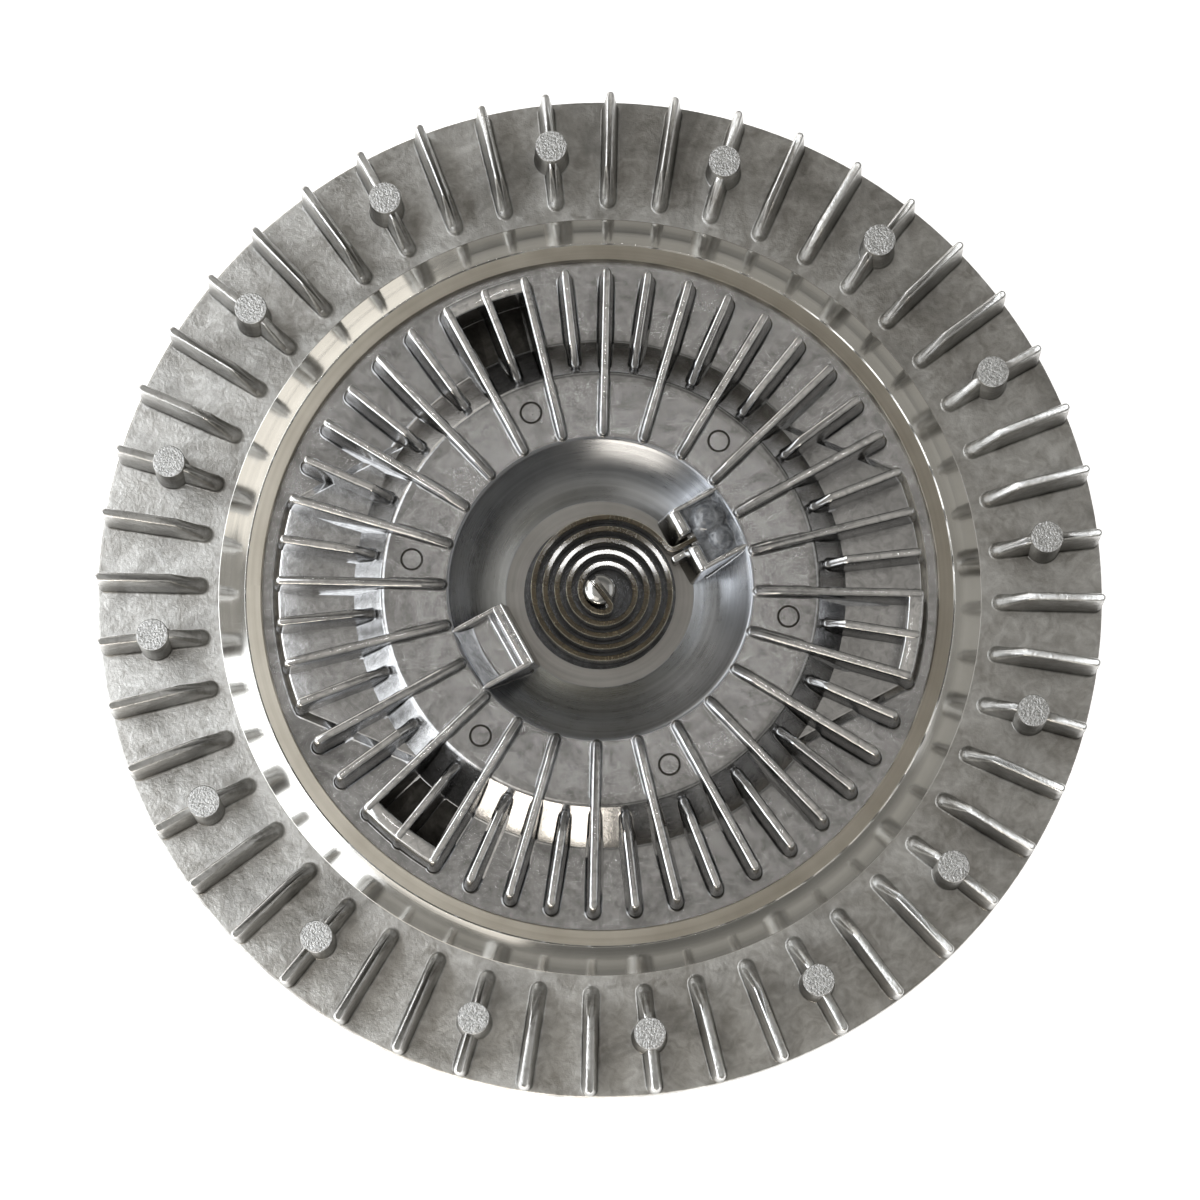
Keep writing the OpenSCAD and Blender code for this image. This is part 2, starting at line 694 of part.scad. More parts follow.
module rotor() {
    hub_low_z = bearing_top_z;
    bore_r = rotor_seat_d / 2 + press_gap;
    outline = concat(
        [[bore_r, hub_low_z], [inner_shoulder_r, hub_low_z], [rotor_hub_d / 2, hub_low_z + 1.5],
        [rotor_hub_d / 2, rotor_z]],
        [for (i = [0 : land_count - 1], p = land_outline(rotor_land_r(i), rotor_z, floor_z + land_gap)) p],
        [[rotor_r, rotor_z], [rotor_r, rotor_top_z], [bore_r, rotor_top_z]]);
    color([0.62, 0.63, 0.64]) difference() {
        rotate_extrude() polygon(outline);
        around(4) translate([(rotor_hub_d / 2 + land_r) / 2, 0, rotor_z - root])
            cylinder(h = rotor_t + 2 * root, d = gate_d);
    }
}

module drive_shaft() {
    hex_corner_r = hex_af / 2 / cos(30);
    edge = 1.2;
    collar_r = inner_shoulder_r - 0.5;
    mouth_r = thread_bore_d / 2 + 1;
    tip = thread_bore_d / 2 * tan(30);
    color([0.55, 0.55, 0.56]) difference() {
        union() {
            intersection() {
                cylinder(h = hex_h, r = hex_corner_r, $fn = 6);
                rotate_extrude() polygon([[0, 0], [hex_af / 2, 0], [hex_corner_r, edge],
                    [hex_corner_r, hex_h - edge], [hex_af / 2, hex_h], [0, hex_h]]);
            }
            translate([0, 0, hex_h - root]) cylinder(h = collar_h + root, r = collar_r);
            translate([0, 0, bearing_z - root]) cylinder(h = bearing_w + root, d = journal_d);
            translate([0, 0, bearing_top_z - root])
                cylinder(h = rotor_top_z - bearing_top_z + root + 0.4, d = rotor_seat_d);
        }
        translate([0, 0, -root]) cylinder(h = thread_depth + root, d = thread_bore_d);
        translate([0, 0, thread_depth]) cylinder(h = tip, r1 = thread_bore_d / 2, r2 = 0);
        translate([0, 0, -root]) cylinder(h = 2 * root, r1 = mouth_r + root, r2 = mouth_r - root);
    }
}

// Bearing

module bearing_inner_race() {
    bore_r = journal_d / 2 + press_gap;
    color([0.66, 0.67, 0.68]) difference() {
        translate([0, 0, bearing_z]) cylinder(h = bearing_w, r = inner_shoulder_r);
        translate([0, 0, bearing_z - root]) cylinder(h = bearing_w + 2 * root, r = bore_r);
        translate([0, 0, bearing_mid_z]) rotate_extrude() translate([pitch_r, 0]) circle(race_r);
    }
}

module bearing_outer_race() {
    color([0.66, 0.67, 0.68]) difference() {
        translate([0, 0, bearing_z]) cylinder(h = bearing_w, r = bearing_r);
        translate([0, 0, bearing_z - root]) cylinder(h = bearing_w + 2 * root, r = outer_shoulder_r);
        translate([0, 0, bearing_mid_z]) rotate_extrude() translate([pitch_r, 0]) circle(race_r);
        for (z = [bearing_z - root, bearing_top_z - seal_t - seal_inset])
            translate([0, 0, z]) cylinder(h = seal_t + seal_inset + root, r = outer_shoulder_r + seal_groove);
    }
}

module bearing_balls() {
    color([0.85, 0.86, 0.87]) around(ball_count) translate([pitch_r, 0, bearing_mid_z]) sphere(d = ball_d);
}

module bearing_cage() {
    cage_h = ball_d + 1.6;
    color([0.62, 0.52, 0.30]) difference() {
        translate([0, 0, bearing_mid_z - cage_h / 2]) cylinder(h = cage_h, r = outer_shoulder_r - loose_gap);
        translate([0, 0, bearing_mid_z - cage_h]) cylinder(h = 2 * cage_h, r = inner_shoulder_r + loose_gap);
        around(ball_count) translate([pitch_r, 0, bearing_mid_z]) sphere(d = ball_d + 4 * run_gap);
    }
}

module bearing_seal(low_z) {
    color([0.14, 0.13, 0.12]) translate([0, 0, low_z]) difference() {
        cylinder(h = seal_t, r = outer_shoulder_r + seal_groove - press_gap);
        translate([0, 0, -root]) cylinder(h = seal_t + 2 * root, r = inner_shoulder_r + run_gap);
    }
}

module bearing_seal_front() {
    bearing_seal(bearing_top_z - seal_t - seal_inset + press_gap);
}

module bearing_seal_rear() {
    bearing_seal(bearing_z + seal_inset - press_gap);
}

// Open ring with two eyelets at its ends
module bearing_retaining_ring() {
    outer_r = bearing_r + ring_groove - run_gap;
    inner_r = outer_r - 4;
    eyelet_r = 2.6;
    eyelet_hole_r = 1.1;
    eyelet_at = inner_r + 0.4;
    gap_a = 10;
    eyelet_a = gap_a + 4;
    color([0.25, 0.25, 0.26]) translate([0, 0, ring_z]) linear_extrude(ring_t) difference() {
        union() {
            difference() {
                circle(outer_r);
                circle(inner_r);
                polygon([[0, 0], polar(2 * outer_r, -gap_a), polar(2 * outer_r, gap_a)]);
            }
            for (side = [-1, 1]) translate(polar(eyelet_at, side * eyelet_a)) circle(eyelet_r);
        }
        for (side = [-1, 1]) translate(polar(eyelet_at, side * eyelet_a)) circle(eyelet_hole_r);
    }
}

housing_body();
front_cover();
cover_seal_ring();
rotor();
pump_plate();
pump_plate_rivets();
valve_shaft();
valve_arm();
valve_shaft_seal();
bimetal_coil();
anchor_sealant();
drive_shaft();
bearing_outer_race();
bearing_inner_race();
bearing_balls();
bearing_cage();
bearing_seal_front();
bearing_seal_rear();
bearing_retaining_ring();
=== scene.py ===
"""Looks of the viscous fan clutch: castings with fillets, wear and painted shade, the bimetal coil, threads and
finishes.
Lengths are in millimetres until a mesh is made, which scales them to the frame's metres."""

import json
import math

import bpy
import numpy as np
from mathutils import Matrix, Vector


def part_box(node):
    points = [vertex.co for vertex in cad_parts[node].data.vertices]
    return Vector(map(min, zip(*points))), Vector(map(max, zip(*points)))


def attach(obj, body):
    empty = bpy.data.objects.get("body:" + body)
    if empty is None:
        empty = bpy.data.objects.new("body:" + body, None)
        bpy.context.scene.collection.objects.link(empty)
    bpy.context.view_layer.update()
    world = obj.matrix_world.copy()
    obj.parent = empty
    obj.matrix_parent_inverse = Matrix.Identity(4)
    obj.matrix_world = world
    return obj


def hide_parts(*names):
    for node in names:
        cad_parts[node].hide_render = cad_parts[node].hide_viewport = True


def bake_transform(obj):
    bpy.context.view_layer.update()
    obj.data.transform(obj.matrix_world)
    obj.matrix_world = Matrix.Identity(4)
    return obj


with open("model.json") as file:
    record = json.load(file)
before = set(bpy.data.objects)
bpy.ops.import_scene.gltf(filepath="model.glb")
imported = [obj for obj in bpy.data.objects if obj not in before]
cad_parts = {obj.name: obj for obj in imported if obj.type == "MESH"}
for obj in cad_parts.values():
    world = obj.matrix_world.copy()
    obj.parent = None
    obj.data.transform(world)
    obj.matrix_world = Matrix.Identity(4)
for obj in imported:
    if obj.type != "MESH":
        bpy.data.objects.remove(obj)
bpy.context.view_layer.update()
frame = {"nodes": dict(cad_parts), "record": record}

MM = 0.001


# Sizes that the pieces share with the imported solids

def node_height(node):
    """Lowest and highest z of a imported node, in millimetres."""
    low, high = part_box(node)
    return low.z / MM, high.z / MM


def mount(name):
    """The sizes of the record's mount of that name."""
    return next(m for m in frame["record"]["mounts"] if m["name"] == name)["dims"]


HUB_Z, BOSS_TOP_Z = node_height("housing_body")
CREST_Z = node_height("front_cover")[1]
COIL_LOW_Z, COIL_HIGH_Z = node_height("bimetal_coil")
PLATE_TOP_Z = node_height("pump_plate")[1]
BEARING_LOW_Z, BEARING_TOP_Z = node_height("bearing_outer_race")
RING_LOW_Z = node_height("bearing_retaining_ring")[0]
SHAFT_TOP_Z = node_height("drive_shaft")[1]
PIN_LOW_Z, PIN_TOP_Z = node_height("valve_shaft")
ARM_LOW_Z, ARM_TOP_Z = node_height("valve_arm")
PIN_SEAL_Z = sum(node_height("valve_shaft_seal")) / 2

BOSS_H, FLANGE_T, STOP_T, LAND_H, REAR_WALL_T = 14.6, 6.0, 2.5, 8.0, 5.5
LIP_H, COVER_FIN_H, COVER_T, DOME_H, BOWL_DEPTH = 3.3, 12.7, 3.5, 10.1, 10.1
RIM_R = 110.0
RIM_Z = BOSS_TOP_Z - BOSS_H
FLANGE_Z = RIM_Z - FLANGE_T
FLOOR_Z = BEARING_TOP_Z + STOP_T
LAND_TOP_Z = FLOOR_Z + LAND_H
LAND_RADII = [46.5 + 5.0 * i for i in range(5)]
REAR_WALL_Z = FLOOR_Z - REAR_WALL_T
WALL_R = 79.0
WALL_CHAMFER = 5.0
HUB_R = 35.5
BEARING_R = 27.51
SHOULDER_R = 23.39
RING_GROOVE_R = 28.9
CHAMBER_R = 73.5
SEAT_R = 77.3
LIP_FOOT_R = 83.5
LIP_Z = RIM_Z + LIP_H
LIP_EDGE_R = 73.9
COVER_TOP_Z = CREST_Z - COVER_FIN_H
COVER_Z = COVER_TOP_Z - COVER_T
COVER_R = 77.2
DOME_Z = COVER_TOP_Z + DOME_H
DOME_R = 47.5
RISER_R = 56.0
BOWL_R, BOWL_FLOOR_R = 33.0, 20.6
BOWL_Z = DOME_Z - BOWL_DEPTH
BOWL_SAG = 1.2
# Radius within which the bowl's floor carries painted shade under the coil.
COIL_SHADE_R = 16.6
COVER_WALL = 3.4
RIB_R, PLATE_R = 60.5, 71.5
VALVE_R, VALVE_BORE_R = 3.4, 3.44

FLANGE_FINS = 48
FLANGE_FIN_Z = RIM_Z + 12.5
FLANGE_NOSE_Z = RIM_Z + 2.5
FLANGE_TIP_R, FLANGE_RAMP = 86.2, 7.0
COVER_FINS = 24
COVER_FIN_R = 70.3
COVER_NOSE = 1.2
LONG_TIP_R, LONG_RAMP = 33.5, 5.2
SHORT_TIP_R, SHORT_RAMP = 49.3, 4.5
CREST_R, CREST_FLAT = 0.55, 0.38
REAR_FINS = 24
REAR_FIN_H = 10.0
BOSS_R = mount("fan_bolts")["pcd_mm"] / 2
BOSS_TOP_R = 3.5
BOSSES = FLANGE_FINS // 3
FAN_BOLTS = mount("fan_bolts")["count"]
FAN_BOLT_R = mount("fan_bolts")["hole_r_mm"]
FLANGE_PITCH = 360.0 / FLANGE_FINS
COVER_PITCH = 360.0 / COVER_FINS
PAD_H = 2.7
UNDER_RISER = 4.0
BEND_HALF = 0.15
SINK = 0.4
SEGMENTS = 240
FOOT_ARC = np.radians([30, 60, 90])

ANCHOR_A, SLOT_A = 30.0, 308.0
ANCHOR_R, ANCHOR_DEPTH, ANCHOR_HALF = 21.0, 4.4, 7.0
ANCHOR_TOP_Z, ANCHOR_FLOOR_Z = DOME_Z + 0.15, DOME_Z - ANCHOR_DEPTH
TAIL_END_R = 26.8
COIL_R, CORE_R, COIL_SHIFT, COIL_TURNS = 16.6, 4.7, 1.05, 4
STRIP_T = 1.15
TAIL_BEND, HOOK_BEND = 2.0, 1.2

THREAD_BORE_R = mount("shaft_thread")["r_mm"]
THREAD_DEPTH = 24.0
HEX_R, HEX_H = 18.0, 13.0
COLLAR_R, JOURNAL_R, ROTOR_SEAT_R = 18.607, 15.0, 13.0
AXIS_R = 0.05


# Outlines and shells

def polar(radius, degrees):
    return np.array([radius * math.cos(math.radians(degrees)), radius * math.sin(math.radians(degrees))])


def turned(point, degrees):
    """A plan point turned about the axis."""
    c, s = math.cos(math.radians(degrees)), math.sin(math.radians(degrees))
    return np.array([point[0] * c - point[1] * s, point[0] * s + point[1] * c])


def rounded(corners, step=15.0):
    """Closed outline from (r, z) or (r, z, fillet) corners, a fillet's points being about step degrees apart."""
    points = []
    for i, (r, z, *fillet) in enumerate(corners):
        here = np.array([r, z])
        back = np.array(corners[i - 1][:2]) - here
        ahead = np.array(corners[(i + 1) % len(corners)][:2]) - here
        if not fillet:
            points.append(here)
            continue
        back_length, ahead_length = np.linalg.norm(back), np.linalg.norm(ahead)
        back, ahead = back / back_length, ahead / ahead_length
        half = math.acos(np.clip(back @ ahead, -1, 1)) / 2
        cut = min(fillet[0] / math.tan(half), 0.48 * back_length, 0.48 * ahead_length)
        radius = cut * math.tan(half)
        middle = (back + ahead) / np.linalg.norm(back + ahead)
        centre = here + middle * radius / math.sin(half)
        first, last = here + back * cut - centre, here + ahead * cut - centre
        sweep = math.atan2(first[0] * last[1] - first[1] * last[0], first @ last)
        count = max(2, int(abs(math.degrees(sweep)) / step))
        for k in range(count + 1):
            turn = sweep * k / count
            cos, sin = math.cos(turn), math.sin(turn)
            points.append(centre + [first[0] * cos - first[1] * sin, first[0] * sin + first[1] * cos])
    return np.array(points)


def unit_circle(columns):
    """Points round a circle of radius 1 in plan."""
    turn = np.linspace(0, 2 * math.pi, columns, endpoint=False)
    return np.stack([np.cos(turn), np.sin(turn)], axis=1)


def level(z):
    """A height that is the same everywhere."""
    return lambda first, *_: np.full_like(first, z)


def ramped(low, high, run):
    """A height that climbs from low to high within a run."""
    return lambda s: low + (high - low) * np.clip(s / run, 0, 1)


def at_height(plan, z):
    """Plan points lifted to one height."""
    return np.column_stack([plan, np.full(len(plan), z)])


def left_normals(ahead):
    """Unit normals to the left of directions in plan."""
    return np.stack([-ahead[:, 1], ahead[:, 0]], axis=1) / np.linalg.norm(ahead, axis=1)[:, None]


def linked(name, data):
    """A new object of the scene."""
    obj = bpy.data.objects.new(name, data)
    bpy.context.scene.collection.objects.link(obj)
    return obj


class Shells:
    """Closed shells that together make one piece, with a finish for each face and a wear value for each point: up to
    1 for rubbed wear on the castings and for the painted highlight on the coil's edges, and down to -1 for painted
    shade on the castings."""

    def __init__(self):
        self.points, self.faces, self.finishes, self.wear = [], [], [], []
        self.count = 0

    def add(self, points, faces, finish=0, wear=None):
        """One shell. finish is a number for all faces or a list, and wear a value for each point."""
        self.points.append(np.asarray(points, float))
        self.faces += [[i + self.count for i in face] for face in faces]
        self.finishes += [finish] * len(faces) if isinstance(finish, int) else list(finish)
        self.wear.append(np.zeros(len(points)) if wear is None else np.asarray(wear, float))
        self.count += len(points)

    def loft(self, levels, finish=0, wear=None):
        """Closed loops of equal count joined one to the next, with both end loops capped.
        wear is a value for each level, or for each point."""
        rows, columns = len(levels), len(levels[0])
        faces = []
        for row in range(rows - 1):
            for i in range(columns):
                j = (i + 1) % columns
                low, high = row * columns, (row + 1) * columns
                faces.append([low + i, low + j, high + j, high + i])
        faces.append(list(range(columns))[::-1])
        faces.append([(rows - 1) * columns + i for i in range(columns)])
        if wear is not None and len(wear) == rows:
            wear = np.repeat(wear, columns)
        self.add(np.concatenate(levels), faces, finish, wear)

    def revolve(self, outline, segments, finish_of=None, radius_of=None, centre=(0.0, 0.0)):
        """A closed (r, z) outline turned round an upright axis. radius_of may change a radius by its direction."""
        outline = np.asarray(outline, float)
        turn = np.linspace(0, 2 * math.pi, segments, endpoint=False)
        count = len(outline)
        r = np.tile(outline[:, 0], (segments, 1))
        z = np.tile(outline[:, 1], (segments, 1))
        if radius_of:
            r = radius_of(r, z, turn[:, None])
        points = np.stack([centre[0] + r * np.cos(turn)[:, None], centre[1] + r * np.sin(turn)[:, None], z], axis=2)
        faces, finishes = [], []
        middles = (outline + np.roll(outline, -1, axis=0)) / 2
        edge_finish = [finish_of(*middle) if finish_of else 0 for middle in middles]
        for i in range(segments):
            near, far = i * count, (i + 1) % segments * count
            for k in range(count):
                m = (k + 1) % count
                faces.append([near + k, far + k, far + m, near + m])
                finishes.append(edge_finish[k])
        self.add(points.reshape(-1, 3), faces, finishes)

    def disc(self, centre, radius, low, high, columns=40):
        """A plain upright cylinder."""
        plan = np.asarray(centre, float) + radius * unit_circle(columns)
        self.loft([at_height(plan, z) for z in (low, high)])

    def cut(self, tools, materials):
        """These shells with those of tools cut away, as a new set."""
        body, tool = self.piece("cut_body", materials), tools.piece("cut_tool", materials)
        step = body.modifiers.new("cut", "BOOLEAN")
        step.operation, step.solver, step.object = "DIFFERENCE", "EXACT", tool
        shape = body.evaluated_get(bpy.context.evaluated_depsgraph_get())
        mesh = shape.to_mesh()
        points = np.empty(3 * len(mesh.vertices))
        mesh.vertices.foreach_get("co", points)
        result = Shells()
        result.add(points.reshape(-1, 3) / MM, [list(face.vertices) for face in mesh.polygons],
                   [face.material_index for face in mesh.polygons])
        shape.to_mesh_clear()
        for obj in (body, tool):
            mesh = obj.data
            bpy.data.objects.remove(obj)
            bpy.data.meshes.remove(mesh)
        return result

    def piece(self, name, materials, sharp_angle=38.0):
        """The finished mesh object, in metres, shaded smooth up to sharp_angle."""
        mesh = bpy.data.meshes.new(name)
        mesh.from_pydata(np.concatenate(self.points) * MM, [], self.faces)
        for material in materials:
            mesh.materials.append(material)
        mesh.polygons.foreach_set("material_index", self.finishes)
        mesh.polygons.foreach_set("use_smooth", [True] * len(self.faces))
        wear = mesh.attributes.new("wear", "FLOAT", "POINT")
        wear.data.foreach_set("value", np.concatenate(self.wear).astype(np.float32))
        mesh.update()
        mesh.set_sharp_from_angle(angle=math.radians(sharp_angle))
        return linked(name, mesh)


def line_path(start, end):
    """A straight path in plan: length, and a function that gives places and left normals."""
    start, end = np.asarray(start, float), np.asarray(end, float)
    length = np.linalg.norm(end - start)
    along = (end - start) / length
    normal = np.array([-along[1], along[0]])
    return length, lambda s: (start + np.outer(s, along), np.tile(along, (len(s), 1)), np.tile(normal, (len(s), 1)))


def arc_path(radius, first, last):
    """A path along a circle round the axis, from one direction to another, in degrees."""
    sweep = math.radians(last - first)

    def at(s):
        turn = math.radians(first) + s / radius
        out = np.stack([np.cos(turn), np.sin(turn)], axis=1)
        return radius * out, np.stack([-out[:, 1], out[:, 0]], axis=1), -out
    return radius * sweep, at


def ripple(s, seed, pitch):
    """A slow wave between -1 and 1 that differs from seed to seed, for the unevenness of a casting."""
    a, b = math.sin(seed * 12.9898) * 43.7, math.sin(seed * 78.233) * 29.3
    return 0.6 * np.sin(2 * math.pi * s / pitch + a) + 0.4 * np.sin(2 * math.pi * s / (0.43 * pitch) + b)


def rib(shells, path, crest_of, floor_of, crest_r=CREST_R, flat=0.0, draft=3.0, fillet=0.45, flush=(False, False),
        lean=(0.0, 0.0), stations=14, bends=(), seed=0.0, rough=1.0):
    """A drafted rib with a round crest, rounded ends and a fillet at its foot.
    crest_of gives the crest's height along the path, and floor_of the height of what it stands on at a radius.
    The crest widens with the draft where it is lower, and there painted shade takes the place of its rubbed
    brightness; painted shade also darkens the sides and the foot. A flush end is an upright round face, lean lets an
    end slope outwards towards its foot, and bends are where the crest turns sharply."""
    length, at = path
    slope = math.tan(math.radians(draft))
    arc = np.radians(np.linspace(78, draft, 4))
    turns = np.radians(np.linspace(-90, 90, 9))[1:-1]
    # Per row from crest to foot: rubbed brightness on the crest, painted shade (values below 0) down the sides and
    # round the foot.
    wear_and_shade_by_row = [1.0, 1.0, 0.8, 0.3, -0.7, -1.0, -0.9, -0.6, -0.3, 0.0]
    least, uneven, ramp_shade_drop, ramp_painted_shade = 0.12, 0.06 * rough, 1.5, 0.5
    shares = np.union1d(np.linspace(0, 1, stations), np.array(bends, float) / length)
    stations = len(shares)
    peak = crest_of(length * shares).max()

    def section(s):
        places, _, _ = at(s)
        height = np.maximum(crest_of(s) + uneven * ripple(s, seed, 9.0)
                            - floor_of(np.linalg.norm(places, axis=1)), least)
        r = crest_r * (1 + uneven * ripple(s, seed + 3.1, 7.0)) + slope * (peak - crest_of(s))
        r = np.minimum(r, 0.9 * height)
        rows = [(flat + r * math.cos(a), height - r + r * math.sin(a)) for a in arc]
        shoulder_d, shoulder_z = rows[-1]
        f = np.minimum(fillet, 0.6 * shoulder_z)
        foot_d = shoulder_d + (shoulder_z - f) * slope
        rows.append(((shoulder_d + foot_d) / 2, (shoulder_z + f) / 2))
        rows.append((foot_d, f))
        rows += [(foot_d + f * (1 - math.cos(a)), f * (1 - math.sin(a))) for a in FOOT_ARC]
        rows.append((rows[-1][0], np.zeros_like(s) - SINK))
        return height, rows

    levels, points_wear_and_shade = [], []
    for row in range(len(wear_and_shade_by_row)):
        ends = []
        for end, stop in ((0, 0.0), (1, length)):
            height, rows = section(np.array([stop]))
            wide, up = rows[row][0][0], rows[row][1][0]
            outward = 1 if end else -1
            if flush[end]:
                ends.append(stop - outward * max(wide, flat + crest_r))
            else:
                ends.append(stop + outward * lean[end] * (height[0] - max(up, 0)))
        s = ends[0] + (ends[1] - ends[0]) * shares
        inside = np.clip(s, 0, length)
        height, rows = section(inside)
        wide, up = rows[row]
        places, along, normal = at(s)
        nose, tail = (wide[i] * (np.outer(np.cos(turns), along[i]) + np.outer(np.sin(turns), normal[i]))
                      for i in (0, -1))
        out = normal * wide[:, None]
        plan = np.concatenate([places - out, places[-1] + tail, (places + out)[::-1], places[0] - nose])
        pick = np.concatenate([np.arange(stations), [stations - 1] * len(turns),
                               np.arange(stations)[::-1], [0] * len(turns)]).astype(int)
        share = np.clip(up / height, 0, 1)[pick]
        centre_floor = floor_of(np.linalg.norm(at(inside)[0], axis=1))[pick]
        own_floor = floor_of(np.linalg.norm(plan, axis=1))
        z = up[pick] + share * centre_floor + (1 - share) * own_floor
        levels.append(np.column_stack([plan, z]))
        # Where the crest is lower (the ramp), painted shade replaces the rubbed brightness on all rows but the two
        # lowest.
        ramp = np.clip((peak - crest_of(inside)) / ramp_shade_drop, 0, 1)[pick]
        points_wear_and_shade.append(wear_and_shade_by_row[row] * (1 - ramp) - ramp_painted_shade * ramp * (row < len(wear_and_shade_by_row) - 2))
    shells.loft(levels[::-1], wear=np.concatenate(points_wear_and_shade[::-1]))


def boss(shells, centre):
    """A drafted round fan boss with a sanded top, a broken top edge and a fillet at its foot."""
    columns, flare, edge, fillet = 40, 0.25, 0.35, 0.3
    foot_r = BOSS_TOP_R + flare
    steps = [(0.55 * BOSS_TOP_R, BOSS_TOP_Z - 0.03), (BOSS_TOP_R - edge, BOSS_TOP_Z),
             (BOSS_TOP_R - 0.3 * edge, BOSS_TOP_Z - 0.1 * edge), (BOSS_TOP_R, BOSS_TOP_Z - edge),
             (foot_r, RIM_Z + fillet)]
    steps += [(foot_r + fillet * (1 - math.cos(a)), RIM_Z + fillet * (1 - math.sin(a))) for a in FOOT_ARC]
    steps.append((steps[-1][0], RIM_Z - SINK))
    levels = [at_height(centre + r * unit_circle(columns), z) for r, z in steps]
    side_rows, top_rows = len(levels) - 3, 2
    finishes = [CAST] * side_rows * columns + [SANDED] * top_rows * columns + [CAST, SANDED]
    # The side and the foot get painted shade (values below 0); the top edge is rubbed bright.
    shells.loft(levels[::-1], finishes, np.array([-0.3, -0.3, -0.6, -0.8, -0.9, -0.5, 0.9, 0.6, 0.0]))


def block(shells, place, along, across, low, high, lean=(0.0, 0.0), draft=0.04, edge=0.35, wear_and_shade_scale=1.0):
    """A drafted block with rounded corners. along and across are its limits at the top, and lean is how much each
    of its two ends spreads towards the foot, for each millimetre of drop."""
    quarter = np.radians([0, 30, 60, 90])
    corner_r, corner_share = 0.6, 0.3
    levels = []
    for drop, inset in ((high - low, 0), (0.5 * (high - low), 0), (edge, 0), (0.5 * edge, 0.13 * edge),
                        (0.13 * edge, 0.5 * edge), (0, edge)):
        r0, r1 = along[0] - lean[0] * drop + inset, along[1] + lean[1] * drop - inset
        t0, t1 = across[0] - draft * drop + inset, across[1] + draft * drop - inset
        round_r = min(corner_r, corner_share * (r1 - r0), corner_share * (t1 - t0))
        corners = [(r1, t1, 0), (r0, t1, 90), (r0, t0, 180), (r1, t0, 270)]
        loop = np.array([[r + round_r * (math.cos(math.radians(start) + q) - (1 if r == r1 else -1)),
                          t + round_r * (math.sin(math.radians(start) + q) - (1 if t == t1 else -1))]
                         for r, t, start in corners for q in quarter])
        levels.append(at_height(place(loop[:, 0], loop[:, 1]), high - drop))
    # The lower sides get painted shade (values below 0); the top edges are rubbed bright.
    shells.loft(levels, wear=wear_and_shade_scale * np.array([-0.8, -0.6, 0.2, 0.9, 1.0, 0.8]))


def plateau(shells, outline, steps, finish=0):
    """A low rise on an outline that runs anticlockwise in plan. steps are (inset, z, wear) from foot to top."""
    outline = np.asarray(outline, float)
    ahead = np.roll(outline, -1, axis=0) - np.roll(outline, 1, axis=0)
    inward = left_normals(ahead)
    levels = [at_height(outline + inward * inset, z) for inset, z, _ in steps]
    shells.loft(levels, finish, np.array([wear for _, _, wear in steps]))


def blanket(shells, place, along, across, low_of, top_of, steps=28):
    """A closed layer over a rectangle in plan, between two heights that depend on the place."""
    least = 0.02
    grid = np.meshgrid(np.linspace(*along, steps), np.linspace(*across, steps), indexing="ij")
    r, t = grid[0].ravel(), grid[1].ravel()
    plan = place(r, t)
    low, under = low_of(r, t), steps * steps
    top = np.maximum(top_of(r, t), low + least)
    points = np.concatenate([np.column_stack([plan, top]), np.column_stack([plan, low])])
    faces = []
    for i in range(steps - 1):
        for j in range(steps - 1):
            face = [i * steps + j, (i + 1) * steps + j, (i + 1) * steps + j + 1, i * steps + j + 1]
            faces.append(face)
            faces.append([under + k for k in face[::-1]])
    last = steps - 1
    edge = [i * steps for i in range(last)] + [last * steps + j for j in range(last)]
    edge += [i * steps + last for i in range(last, 0, -1)] + list(range(last, 0, -1))
    for k, m in zip(edge, edge[1:] + edge[:1]):
        faces.append([under + k, under + m, m, k])
    shells.add(points, faces)


# Materials

def add(tree, kind, inputs=None, **settings):
    """A shader node with its settings and inputs, each input a value or another node's output."""
    node = tree.nodes.new(kind)
    for key, value in settings.items():
        setattr(node, key, value)
    for key, value in (inputs or {}).items():
        if isinstance(value, bpy.types.NodeSocket):
            tree.links.new(value, node.inputs[key])
        else:
            node.inputs[key].default_value = value
    return node


def noise(place, scale, detail, rough, distort=0.0):
    inputs = {"Vector": place, "Scale": scale, "Detail": detail, "Roughness": rough, "Distortion": distort}
    return add(place.id_data, "ShaderNodeTexNoise", inputs).outputs[0]


def spread(value, low, high, to_low=0.0, to_high=1.0):
    """A value's range stretched onto another, held at both ends."""
    inputs = {"Value": value, "From Min": low, "From Max": high, "To Min": to_low, "To Max": to_high}
    return add(value.id_data, "ShaderNodeMapRange", inputs).outputs[0]


def math_node(operation, first, second):
    return add(first.id_data, "ShaderNodeMath", {0: first, 1: second}, operation=operation).outputs[0]


def weighed(first, first_share, second, second_share):
    """Two values, added by their shares."""
    return math_node("ADD", math_node("MULTIPLY", first, first_share),
                     math_node("MULTIPLY", second, second_share))


def mixed(share, first, second):
    """Two colours mixed by a share."""
    node = add(share.id_data, "ShaderNodeMix", {0: share}, data_type="RGBA")
    for index, value in ((6, first), (7, second)):
        if isinstance(value, bpy.types.NodeSocket):
            share.id_data.links.new(value, node.inputs[index])
        else:
            node.inputs[index].default_value = (*value, 1.0)
    return node.outputs[2]


def bump(height, strength, distance, below=None):
    inputs = {"Height": height, "Strength": strength, "Distance": distance}
    if below is not None:
        inputs["Normal"] = below
    return add(height.id_data, "ShaderNodeBump", inputs).outputs[0]


def start_material(name, metallic):
    """A new material: itself, its shader and the object's own coordinates."""
    material = bpy.data.materials.new(name)
    material.use_nodes = True
    tree = material.node_tree
    shader = tree.nodes["Principled BSDF"]
    shader.inputs["Metallic"].default_value = metallic
    place = add(tree, "ShaderNodeTexCoord").outputs["Object"]
    return material, shader, place


